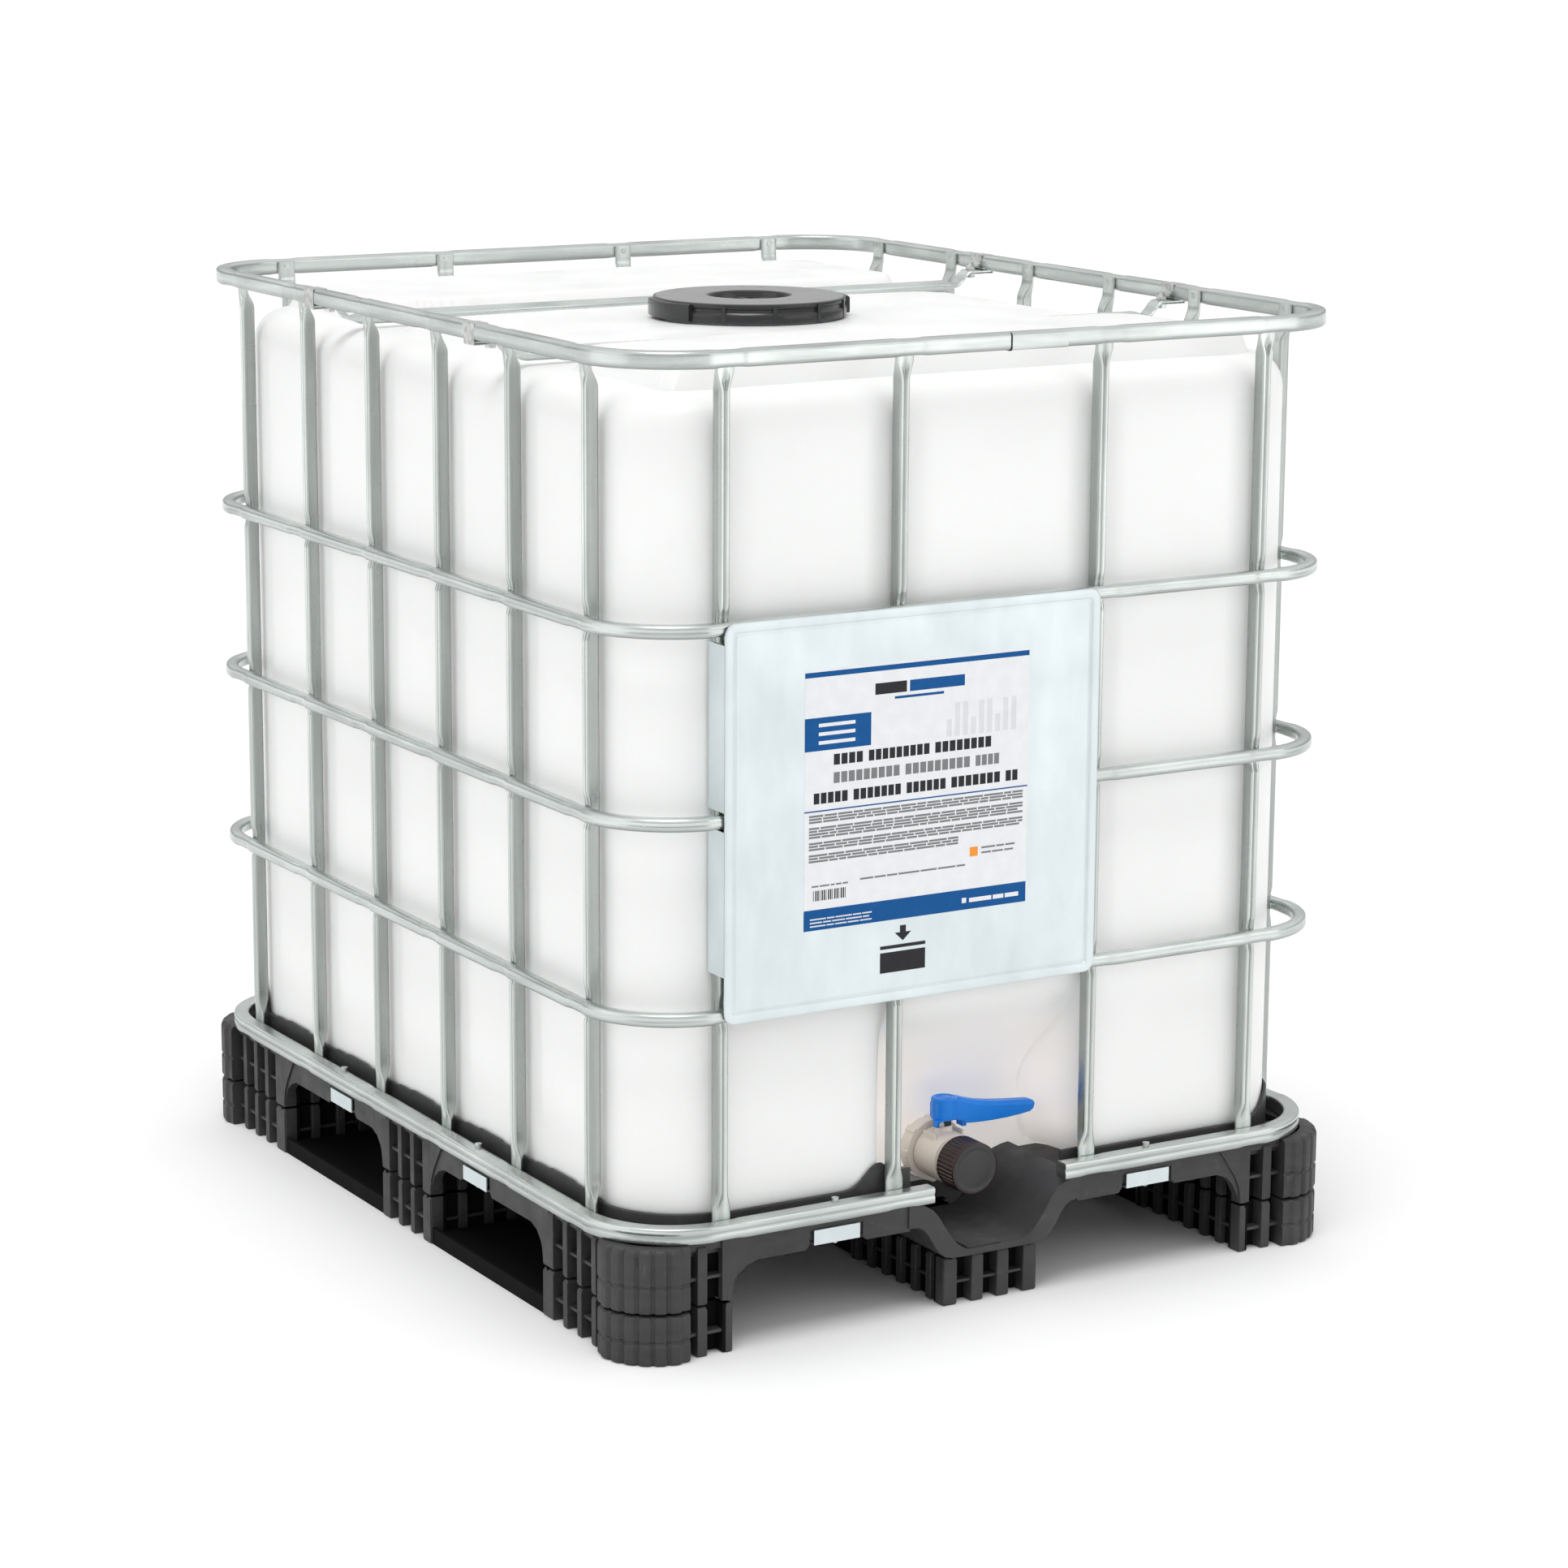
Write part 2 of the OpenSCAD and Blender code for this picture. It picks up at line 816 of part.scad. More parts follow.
module label_plate() {
    bead_front = plate_back + plate_t + bead_h;
    notch = 3;
    color(steel)
        difference() {
            union() {
                along_y(-plate_back - plate_t, -plate_back)
                    plate_outline(0, plate_r);
                along_y(-bead_front, -plate_back - plate_t)
                    difference() {
                        plate_outline(1, plate_r - 1);
                        plate_outline(1 + bead_w, plate_r / 2);
                    }
                span([plate_left, -plate_back, plate_low + flange_low],
                     [plate_left + plate_t, -plate_back + flange_w, plate_high - flange_high]);
            }
            span([plate_left - eps, -plate_back, middle_ring_z - tube / 2 - notch],
                 [plate_left + 2 * eps, -plate_back + tube + notch, middle_ring_z + tube / 2 + notch]);
        }
}

module label_sticker() {
    front = plate_back + plate_t + sticker_t;
    color("white")
        along_y(-front, -plate_back - plate_t)
            translate([plate_left + sticker_left, plate_low + sticker_low])
                square(label_side);
}

// ---------- bottle ----------

// Block with round vertical corners and round top and bottom edges
module soft_block(hx, hy, z0, z1, r, edge) {
    h = z1 - z0;
    for (sx = [-1, 1], sy = [-1, 1])
        translate([sx * (hx - r), sy * (hy - r), z0])
            rotate_extrude()
                difference() {
                    union() {
                        square([r - edge, h]);
                        translate([0, edge])
                            square([r, h - 2 * edge]);
                        for (z = [edge, h - edge])
                            translate([r - edge, z])
                                circle(edge);
                    }
                    translate([-2 * r, 0])
                        square([2 * r, h]);
                }
    along_y(-hy + r, hy - r)
        translate([0, (z0 + z1) / 2])
            plan(hx, h / 2, edge);
    along_x(-hx + r, hx - r)
        translate([0, (z0 + z1) / 2])
            plan(hy, h / 2, edge);
}

// Side view of the front recess: upright back wall and a sloping roof
module recess_outline(grow) {
    polygon([
        [-half_d, sump_z - 20], [-outlet_y + grow, sump_z - 20], [-outlet_y + grow, recess_knee_z + grow],
        [-bottle_y - grow / 2, recess_top_z + grow], [-half_d, recess_top_z + grow]
    ]);
}

// Raised block on the bottle's top
module dome(hy, top, in) {
    soft_block(dome_half_x - in, hy - in, bottle_top - dome_depth, top - in, dome_r - in, dome_edge_r - in);
}

// Body of the bottle, moved inwards by the given amount
module bottle_form(in) {
    difference() {
        soft_block(bottle_x - in, bottle_y - in, tray_z + in, bottle_top - in, bottle_r - in, bottle_edge_r - in);
        along_x(-recess_half - in, recess_half + in)
            recess_outline(in);
    }
    span([-sump_half + in, -outlet_y + in, sump_z + in], [sump_half - in, -sump_back - in, tray_z + 20]);
    for (s = [-1, 1])
        translate([0, s * (bar_y + groove_half + end_dome_half_y), 0])
            dome(end_dome_half_y, end_dome_top, in);
    dome(bar_y - groove_half, dome_top, in);
}

module bottle() {
    color(hdpe)
        difference() {
            union() {
                difference() {
                    bottle_form(0);
                    bottle_form(bottle_wall);
                }
                difference() {
                    post(0, 0, neck_r, dome_top - bottle_wall, neck_top);
                    post(0, 0, neck_bore_r, dome_top - bottle_wall - eps, neck_top + eps);
                }
                barrel(outlet_r, outlet_y - bottle_wall, outlet_y + outlet_len);
            }
            post(0, 0, neck_bore_r, dome_top - 20, neck_top + eps);
            barrel(valve_bore_r, outlet_y - 20, outlet_y + outlet_len + eps);
        }
}

// ---------- lid ----------

module lid_gasket() {
    color(rubber_grey)
        washer(neck_r - 0.2, neck_bore_r, neck_top + gap, neck_top + 3.3);
}

module filling_lid() {
    underside = lid_top - lid_plate_t;
    lug = 5;
    lug_half_w = 50;
    notch = [2, 4, 2 * (lid_top - lid_z - 6)];
    color(black)
        difference() {
            union() {
                washer(lid_r, vent_recess_r, underside, lid_top);
                washer(lid_r, lid_r - lid_wall, lid_z, underside + eps);
                washer(neck_r + lid_wall + 0.4, neck_r + 0.4, lid_z, underside + eps);
                washer(vent_recess_r + lid_wall, vent_recess_r, vent_floor_z, lid_top);
                washer(vent_recess_r + lid_wall, vent_bore_r, vent_floor_z, vent_floor_z + lid_wall);
                washer(vent_bore_r + lid_wall, vent_bore_r, vent_floor_z, vent_neck_top);
                for (turn = [0, 180])
                    rotate(turn)
                        intersection() {
                            washer(lid_r + lug, lid_r - 2, lid_z, lid_top - lid_wall);
                            span([0, -lug_half_w, lid_z], [lid_r + 2 * lug, lug_half_w, lid_top]);
                        }
            }
            for (turn = [30 : 60 : 330])
                rotate(turn)
                    translate([lid_r, 0, lid_z])
                        cube(notch, center = true);
        }
}

module vent_gasket() {
    color(rubber_grey)
        washer(vent_bore_r + lid_wall, vent_bore_r + 0.2, vent_neck_top + gap, vent_neck_top + 1.7);
}

module vent_plug() {
    plug_low = vent_neck_top + 2;
    color(black) {
        difference() {
            post(0, 0, vent_bore_r - 0.4, vent_floor_z + 1, plug_low + 1);
            post(0, 0, vent_bore_r - 4, vent_floor_z, plug_low);
        }
        post(0, 0, vent_bore_r + 5, plug_low, plug_low + lid_wall);
        for (turn = [0, 90])
            rotate(turn)
                translate([0, 0, (plug_low + lid_top) / 2 + 0.75])
                    cube([2 * vent_bore_r, 5, lid_top - plug_low - 2.5], center = true);
    }
}

// ---------- valve ----------

module valve_nut() {
    nut_r = 38;
    rib_w = 7;
    face = flange_y + 4.5;
    color(cream)
        difference() {
            union() {
                barrel(nut_r, outlet_y + 3, face);
                for (turn = [0 : 45 : 315])
                    translate([0, -face, valve_z])
                        rotate([0, turn, 0])
                            translate([nut_r - 2, 0, -rib_w / 2])
                                cube([4, face - outlet_y - 3, rib_w]);
            }
            barrel(outlet_r + gap, outlet_y, flange_y + 2.2);
            barrel(outlet_r - 1, outlet_y, face + eps);
        }
}

module flange_gasket() {
    color(rubber_grey)
        difference() {
            barrel(outlet_r - gap, outlet_y + outlet_len, flange_y);
            barrel(valve_bore_r + gap, outlet_y, flange_y + eps);
        }
}

module valve_body() {
    seal_depth = 4;
    color(cream)
        difference() {
            union() {
                barrel(outlet_r, flange_y, flange_y + 2);
                barrel(outlet_r - 1.5, flange_y, spout_end);
                barrel(body_r, flange_y + 6, cap_back - 6);
                post(0, -stem_y, tower_r, valve_z + valve_bore_r + 1, tower_top);
            }
            barrel(valve_bore_r, flange_y - eps, spout_end + eps);
            post(0, -stem_y, stem_r + run, valve_z - body_r + 3, tower_top + eps);
            post(0, -stem_y, seal_r + 0.1, tower_top - seal_depth, tower_top + eps);
        }
}

module stem_seal() {
    color(rubber_grey)
        difference() {
            post(0, -stem_y, seal_r, tower_top - 3.8, tower_top - 0.6);
            post(0, -stem_y, stem_r + 0.08, tower_top - 5, tower_top);
        }
}

module valve_stem() {
    color(black) {
        post(0, -stem_y, stem_r, valve_z - body_r + 3.5, hub_low + stem_in_hub);
        post(0, -stem_y, tower_r - 1, tower_top + gap, hub_low);
    }
}

module valve_disc() {
    hub = 6.5;
    half_t = 2.5;
    color(cream)
        difference() {
            union() {
                barrel(disc_r, stem_y - half_t, stem_y + half_t);
                intersection() {
                    post(0, -stem_y, hub, valve_z - disc_r, valve_z + disc_r);
                    barrel(disc_r, stem_y - 2 * hub, stem_y + 2 * hub);
                }
            }
            post(0, -stem_y, stem_r + run, valve_z - body_r, valve_z + body_r);
        }
}

module disc_seal() {
    half_w = 1.5;
    color(rubber_grey)
        difference() {
            barrel(disc_r + 1.1, stem_y - half_w, stem_y + half_w);
            barrel(disc_r + run, stem_y - half_w - eps, stem_y + half_w + eps);
            post(0, -stem_y, stem_r + 2, valve_z - body_r, valve_z + body_r);
        }
}

// Side view of the lever's arm, from the hub to the tip
module arm_outline() {
    low = tower_top;
    tip = lever_reach;
    polygon([
        [0, hub_low], [18, hub_low], [30, low], [tip - 6, low], [tip, low + 4], [tip, low + 9],
        [tip - 4, low + 12], [0.67 * tip, low + 14], [0.36 * tip, low + 21], [0, hub_high]
    ]);
}

// The lever: its foot beside the hub takes the screw
module valve_lever() {
    foot_x = -lever_screw_x - 4.5;
    color(blue)
        difference() {
            union() {
                translate([0, -stem_y, 0])
                    along_y(-arm_w / 2, arm_w / 2)
                        arm_outline();
                post(0, -stem_y, hub_r, hub_low, hub_high);
                span([-19, -stem_y - 14, tower_top + 1.5], [-foot_x, -stem_y - 5, hub_low + 2]);
                span([-foot_x - eps, -stem_y - 14, hub_low], [6, -stem_y - 5, hub_low + 2]);
            }
            post(0, -stem_y, stem_r + run, hub_low - eps, hub_low + stem_in_hub + eps);
            translate([lever_screw_x, -stem_y - 4, tower_top + 5])
                rotate([90, 0, 0])
                    cylinder(r = lever_screw_r + run, h = 20);
        }
}

module lever_screw() {
    shank = 8;
    color(steel)
        translate([lever_screw_x, -stem_y - 14, tower_top + 5])
            rotate([90, 0, 0]) {
                translate([0, 0, -shank])
                    cylinder(r = lever_screw_r, h = shank);
                cylinder(r = 2 * lever_screw_r, h = 2);
            }
}

module cap_gasket() {
    color(rubber_grey)
        difference() {
            barrel(spout_r - gap, spout_end + gap, spout_end + 1.7);
            barrel(valve_bore_r - 5, spout_end - eps, spout_end + 3);
        }
}

module outlet_cap() {
    grip_count = 30;
    groove_r = 1.4;
    end_t = 3;
    color(black)
        difference() {
            barrel(cap_r, cap_back, cap_front);
            barrel(spout_r + 0.4, cap_back - eps, cap_front - end_t);
            for (i = [0 : grip_count - 1])
                translate([0, -cap_back + eps, valve_z])
                    rotate([90, i * 360 / grip_count, 0])
                        translate([cap_r + 0.4, 0, 0])
                            cylinder(r = groove_r, h = cap_front - cap_back - end_t - eps, $fn = 16);
        }
}

// ---------- output ----------

pallet_deck();
deck_feet();
skid_left();
skid_centre();
skid_right();
skid_screws();
cage_clips();
clip_screws();
bottom_ring();
lower_ring();
middle_ring();
upper_ring();
top_ring();
verticals_front();
verticals_back();
verticals_left();
verticals_right();
crossbar_front();
crossbar_rear();
crossbar_straps();
crossbar_bolts();
crossbar_nuts();
label_plate();
label_sticker();
bottle();
lid_gasket();
filling_lid();
vent_gasket();
vent_plug();
valve_nut();
flange_gasket();
valve_body();
stem_seal();
valve_stem();
valve_disc();
disc_seal();
valve_lever();
lever_screw();
cap_gasket();
outlet_cap();
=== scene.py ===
"""Looks of the intermediate bulk container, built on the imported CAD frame.

Lengths in this file are millimetres unless a name says otherwise. X is the width, -Y the front with
the label plate and the valve, +Z up, and the floor is at zero.
"""

import math
import random

import bmesh
import bpy
from mathutils import Matrix, Vector


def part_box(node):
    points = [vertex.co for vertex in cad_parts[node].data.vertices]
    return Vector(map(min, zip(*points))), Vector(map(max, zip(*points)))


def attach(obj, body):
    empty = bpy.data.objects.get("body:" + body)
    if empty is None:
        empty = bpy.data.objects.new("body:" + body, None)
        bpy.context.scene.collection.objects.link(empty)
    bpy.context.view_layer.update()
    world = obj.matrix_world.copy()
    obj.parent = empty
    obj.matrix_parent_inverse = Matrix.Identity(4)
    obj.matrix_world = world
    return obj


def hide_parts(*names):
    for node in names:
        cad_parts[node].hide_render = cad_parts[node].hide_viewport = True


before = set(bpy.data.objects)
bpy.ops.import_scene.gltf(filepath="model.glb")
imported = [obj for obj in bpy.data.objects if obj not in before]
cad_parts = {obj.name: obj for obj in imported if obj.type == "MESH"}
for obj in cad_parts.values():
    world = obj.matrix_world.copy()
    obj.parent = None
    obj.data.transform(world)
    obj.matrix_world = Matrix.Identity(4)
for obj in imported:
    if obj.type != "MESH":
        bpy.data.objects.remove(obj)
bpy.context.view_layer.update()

MM = 0.001
SIDE_YS = [i * 186.5 for i in (-2.5, -1.5, -0.5, 0.5, 1.5, 2.5)]
END_XS = [-367.5, -135.5, 135.5, 367.5]
RING_CORNER = 110
BAR_YS = (-220, 220)
RECESS_HALF = 146
OUTLET_Z = 150
STEM_Y = -472


def cad_box(node):
    """Lowest and highest corner of a CAD node, in millimetres."""
    low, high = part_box(node)
    return low / MM, high / MM


def smooth(low, high, value):
    """Goes softly from 0 to 1 while value goes from low to high."""
    t = min(max((value - low) / (high - low), 0), 1)
    return t * t * (3 - 2 * t)


# ---------- mesh code ----------


class Shape:
    """Vertices and faces of one piece, gathered before it becomes an object."""

    def __init__(self):
        self.verts = []
        self.faces = []
        self.tints = []

    def add(self, verts, faces, tint=0):
        start = len(self.verts)
        self.verts += [Vector(v) for v in verts]
        self.faces += [tuple(start + i for i in face) for face in faces]
        self.tints += [tint] * len(faces)

    def loft(self, rings, closed=False, caps=True, tint=0):
        """Skin through rings of equally many points."""
        size, count = len(rings[0]), len(rings)
        faces = []
        for i in range(count if closed else count - 1):
            j = (i + 1) % count
            for k in range(size):
                m = (k + 1) % size
                faces.append((i * size + k, i * size + m, j * size + m, j * size + k))
        if caps and not closed:
            faces.append(tuple(range(size - 1, -1, -1)))
            faces.append(tuple(range((count - 1) * size, count * size)))
        self.add([p for ring in rings for p in ring], faces, tint)

    def block(self, low, high, tint=0):
        """Box between two corners."""
        x0, y0, z0 = low
        x1, y1, z1 = high
        base = [(x0, y0), (x1, y0), (x1, y1), (x0, y1)]
        self.loft([[(x, y, z0) for x, y in base], [(x, y, z1) for x, y in base]], tint=tint)

    def lathe(self, profile, steps=96, at=(0, 0, 0), axis="Z", wave=None, closed=False, tint=0):
        """Turns (radius, height) points round an axis. wave adds to the radius by angle and height."""
        rings = []
        for radius, height in profile:
            ring = []
            for i in range(steps):
                turn = math.tau * i / steps
                r = radius + (wave(turn, height) if wave else 0)
                u, v = r * math.cos(turn), r * math.sin(turn)
                point = (u, v, height) if axis == "Z" else (u, -height, v)
                ring.append(Vector(at) + Vector(point))
            rings.append(ring)
        self.loft(rings, closed=closed, tint=tint)

    def prism(self, outline, y0, y1, tint=0):
        """Outline in X and Z between two depths."""
        self.loft([[(x, y, z) for x, z in outline] for y in (y0, y1)], tint=tint)

    def move(self, matrix, start=0):
        for i in range(start, len(self.verts)):
            self.verts[i] = matrix @ self.verts[i]

    def build(self, name, paints, slot, body="container", nodes=(), bevel=0, segments=2, crease=38):
        mesh = bpy.data.meshes.new(name)
        mesh.from_pydata([v * MM for v in self.verts], [], self.faces)
        for paint in paints:
            mesh.materials.append(paint)
        mesh.polygons.foreach_set("material_index", self.tints)
        work = bmesh.new()
        work.from_mesh(mesh)
        bmesh.ops.recalc_face_normals(work, faces=work.faces)
        work.to_mesh(mesh)
        work.free()
        piece = bpy.data.objects.new(name, mesh)
        bpy.context.collection.objects.link(piece)
        soften(piece, bevel, segments, crease)
        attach(piece, body)
        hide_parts(*nodes)
        return piece


def shade_points(piece, shades):
    """Stores how dark each point is, for the paints that read it. Points past the list aren't shaded."""
    rest = [0.0] * (len(piece.data.vertices) - len(shades))
    stored = piece.data.attributes.new("shade", "FLOAT", "POINT")
    stored.data.foreach_set("value", shades + rest)


def round_edges(piece, bevel, segments, angle):
    rounding = piece.modifiers.new("rounded edges", "BEVEL")
    rounding.width = bevel * MM
    rounding.segments = segments
    rounding.limit_method = "ANGLE"
    rounding.angle_limit = math.radians(angle)
    rounding.harden_normals = True


def soften(piece, bevel, segments=2, crease=38):
    """Smooth shading with rounded edges, or with sharp creases where bevel is 0."""
    if bevel:
        round_edges(piece, bevel, segments, 32)
    piece.data.shade_smooth()
    if not bevel:
        piece.data.set_sharp_from_angle(angle=math.radians(crease))


def dress(node, paint, bevel=0):
    """Gives a shown CAD node its material, and rounds its edges with modifiers."""
    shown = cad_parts[node]
    shown.data.materials.clear()
    shown.data.materials.append(paint)
    if bevel:
        weld = shown.modifiers.new("joined faces", "WELD")
        weld.merge_threshold = 1e-5
        round_edges(shown, bevel, 2, 40)


def section(width, height, radius, arc=3, flat=3):
    """Rounded rectangle round the origin, with extra points along its flats."""
    corners = [(1, 1, 0), (-1, 1, 90), (-1, -1, 180), (1, -1, 270)]
    points = []
    for i, (sx, sy, start) in enumerate(corners):
        cx, cy = sx * (width / 2 - radius), sy * (height / 2 - radius)
        for k in range(arc + 1):
            a = math.radians(start + 90 * k / arc)
            points.append(Vector((cx + radius * math.cos(a), cy + radius * math.sin(a))))
        nx, ny, turned = corners[(i + 1) % 4]
        a = math.radians(turned)
        ahead = Vector((nx * (width / 2 - radius) + radius * math.cos(a),
                        ny * (height / 2 - radius) + radius * math.sin(a)))
        points += [points[-1].lerp(ahead, k / (flat + 1)) for k in range(1, flat + 1)]
    return points


def round_path(half_x, half_y, radius, gap=0, step=6):
    """Positions and outward normals along a rounded rectangle, starting in the middle of its front."""
    spots = []

    def straight(start, end, normal):
        start, end = Vector(start), Vector(end)
        count = max(1, round((end - start).length / step))
        spots.extend((start.lerp(end, i / count), Vector(normal)) for i in range(count))

    def corner(cx, cy, start):
        for i in range(18):
            a = math.radians(start + 5 * i)
            out = Vector((math.cos(a), math.sin(a)))
            spots.append((Vector((cx, cy)) + radius * out, out))

    ix, iy = half_x - radius, half_y - radius
    straight((gap, -half_y), (ix, -half_y), (0, -1))
    corner(ix, -iy, -90)
    straight((half_x, -iy), (half_x, iy), (1, 0))
    corner(ix, iy, 0)
    straight((ix, half_y), (-ix, half_y), (0, 1))
    corner(-ix, iy, 90)
    straight((-half_x, iy), (-half_x, -iy), (-1, 0))
    corner(-ix, -iy, 180)
    straight((-ix, -half_y), (-gap, -half_y), (0, -1))
    if gap:
        spots.append((Vector((-gap, -half_y)), Vector((0, -1))))
    return spots


# ---------- materials ----------


class Paint:
    """A principled material, with textures in the object's own space."""

    def __init__(self, name, colour, roughness, metallic=0.0, **sockets):
        self.material = bpy.data.materials.new(name)
        self.material.use_nodes = True
        self.tree = self.material.node_tree
        self.shader = self.tree.nodes["Principled BSDF"]
        self.shader.inputs["Base Color"].default_value = (*colour, 1)
        self.shader.inputs["Roughness"].default_value = roughness
        self.shader.inputs["Metallic"].default_value = metallic
        for socket, value in sockets.items():
            self.shader.inputs[socket.replace("_", " ")].default_value = value
        self.place = self.node("ShaderNodeTexCoord").outputs["Object"]

    def node(self, kind, links=(), **values):
        made = self.tree.nodes.new(kind)
        for key, value in values.items():
            setattr(made, key, value)
        for socket, source in dict(links).items():
            if hasattr(source, "is_output"):
                self.tree.links.new(source, made.inputs[socket])
            else:
                made.inputs[socket].default_value = source
        return made

    def stretched(self, stretch):
        return self.node("ShaderNodeMapping", {"Vector": self.place, "Scale": stretch}).outputs["Vector"]

    def noise(self, scale, detail=4.0, stretch=(1, 1, 1), distortion=0.0):
        return self.node("ShaderNodeTexNoise", {
            "Vector": self.stretched(stretch), "Scale": scale,
            "Detail": detail, "Distortion": distortion,
        }).outputs["Fac"]

    def cells(self, scale, stretch=(1, 1, 1)):
        colour = self.node("ShaderNodeTexVoronoi", {
            "Vector": self.stretched(stretch), "Scale": scale,
        }).outputs["Color"]
        return self.node("ShaderNodeSeparateXYZ", {"Vector": colour}).outputs["X"]

    def between(self, source, low, high, to_low=0.0, to_high=1.0):
        return self.node("ShaderNodeMapRange", {
            "Value": source, "From Min": low, "From Max": high, "To Min": to_low, "To Max": to_high,
        }).outputs["Result"]

    def mixed(self, factor, first, second):
        made = self.node("ShaderNodeMix", data_type="RGBA")
        for index, source in ((0, factor), (6, first), (7, second)):
            if hasattr(source, "is_output"):
                self.tree.links.new(source, made.inputs[index])
            else:
                made.inputs[index].default_value = source if index == 0 else (*source, 1)
        return made.outputs[2]

    def height(self, axis):
        return self.node("ShaderNodeSeparateXYZ", {"Vector": self.place}).outputs[axis]

    def to(self, socket, source):
        self.tree.links.new(source, self.shader.inputs[socket])

    def bump(self, *layers):
        """Layers of (height, strength, distance in millimetres), one on the other."""
        normal = None
        for source, strength, distance in layers:
            links = {"Height": source, "Strength": strength, "Distance": distance * MM}
            if normal:
                links["Normal"] = normal
            normal = self.node("ShaderNodeBump", links).outputs["Normal"]
        self.to("Normal", normal)


def pallet_plastic():
    """Recycled dark polyethylene: mottled, slightly dusty, with fine grain and flow marks."""
    paint = Paint("pallet plastic", (0.055, 0.055, 0.057), 0.5, Specular_IOR_Level=0.42)
    mottle = paint.noise(9, 5)
    flow = paint.noise(14, 3, (1, 1, 5), 0.6)
    scuffs = paint.between(paint.noise(60, 6, (1, 4, 1)), 0.62, 0.75)
    base = paint.mixed(paint.between(mottle, 0.35, 0.65), (0.030, 0.030, 0.031), (0.046, 0.046, 0.047))
    base = paint.mixed(paint.between(flow, 0.45, 0.8, 0, 0.35), base, (0.062, 0.062, 0.062))
    paint.to("Base Color", paint.mixed(paint.between(scuffs, 0, 1, 0, 0.22), base, (0.13, 0.13, 0.126)))
    paint.to("Roughness", paint.between(paint.noise(35, 4), 0.3, 0.7, 0.42, 0.62))
    paint.bump((paint.noise(900, 2), 0.22, 0.3), (paint.noise(45, 3), 0.25, 0.8))
    return paint.material


def galvanised(name, colour, streaks, roughness, contrast=1.0):
    """Zinc-coated steel: drawn streaks, faint spangle and a few dull patches."""
    paint = Paint(name, colour, roughness, 0.9)
    dark = tuple((1 - 0.26 * contrast) * c for c in colour)
    light = tuple(min(1, (1 + 0.15 * contrast) * c) for c in colour)
    drawn = paint.noise(26, 5, streaks, 0.2)
    patches = paint.between(paint.noise(11, 4), 0.38, 0.68)
    grains = paint.cells(90)
    base = paint.mixed(paint.between(drawn, 0.3, 0.7), dark, light)
    base = paint.mixed(paint.between(grains, 0, 1, 0, 0.12 * contrast), base, dark)
    dull = tuple(0.6 * c + 0.24 for c in colour)
    base = paint.mixed(paint.between(patches, 0, 1, 0, 0.2 * contrast), base, dull)
    # Painted shade: the points' shade attribute darkens the base to about a third of its colour on tube
    # flanks, undersides and grooves.
    shade = paint.node("ShaderNodeAttribute", attribute_name="shade").outputs["Fac"]
    paint.to("Base Color", paint.mixed(shade, base, tuple(0.36 * c for c in colour)))
    paint.to("Roughness", paint.between(patches, 0, 1, roughness - 0.05, roughness + 0.09))
    paint.bump((drawn, 0.04, 0.2), (paint.noise(70, 2), 0.05, 0.25))
    return paint.material


def fastener_steel():
    """Zinc-plated screws and bolts."""
    paint = Paint("fastener steel", (0.62, 0.63, 0.62), 0.34, 0.92)
    tarnish = paint.noise(120, 5)
    dulled = paint.between(tarnish, 0.4, 0.7)
    paint.to("Base Color", paint.mixed(dulled, (0.66, 0.67, 0.66), (0.42, 0.42, 0.40)))
    paint.to("Roughness", paint.between(tarnish, 0.3, 0.7, 0.28, 0.48))
    paint.bump((paint.noise(700, 3), 0.15, 0.1))
    return paint.material


def bottle_plastic():
    """Milky polyethylene with a soft surface. Where the points' shade attribute is set, the colour is
    painted warmer and darker as painted shade, and an emission paints a glow on it as painted light."""
    paint = Paint("bottle plastic", (0.88, 0.885, 0.88), 0.36, Subsurface_Weight=0.18,
                  Subsurface_Scale=0.02, Emission_Color=(1.0, 0.965, 0.94, 1))
    shade = paint.node("ShaderNodeAttribute", attribute_name="shade").outputs["Fac"]
    cloud = paint.noise(5, 3)
    base = paint.mixed(paint.between(cloud, 0.35, 0.7), (0.87, 0.875, 0.868), (0.905, 0.91, 0.905))
    # Painted shade: the shade attribute mixes the base towards a warm, darker tint.
    paint.to("Base Color", paint.mixed(shade, base, (0.82, 0.765, 0.71)))
    # Painted light: the shade attribute drives an emission, a glow with no lamp behind it.
    paint.to("Emission Strength", paint.between(shade, 0, 1, 0, 0.34))
    paint.to("Roughness", paint.between(paint.noise(12, 3), 0.3, 0.7, 0.30, 0.46))
    paint.bump((paint.noise(3.5, 2), 0.25, 6), (paint.noise(240, 3), 0.10, 0.3))
    return paint.material


def moulded(name, colour, roughness, grain=0.18, tint=0.8, gloss=0.5):
    """Injection-moulded plastic: slight colour drift, fine grain and handling marks."""
    paint = Paint(name, colour, roughness, Specular_IOR_Level=gloss)
    drift = paint.noise(28, 4)
    marks = paint.between(paint.noise(160, 5, (1, 3, 1)), 0.6, 0.8)
    base = paint.mixed(paint.between(drift, 0.3, 0.7), tuple(tint * c for c in colour), colour)
    worn = tuple(min(1, c * 1.25 + 0.02 * gloss) for c in colour)
    paint.to("Base Color", paint.mixed(paint.between(marks, 0, 1, 0, 0.3), base, worn))
    paint.to("Roughness", paint.between(drift, 0.3, 0.7, roughness - 0.06, roughness + 0.08))
    paint.bump((paint.noise(1200, 2), grain, 0.15), (paint.noise(70, 3), 0.12, 0.4))
    return paint.material


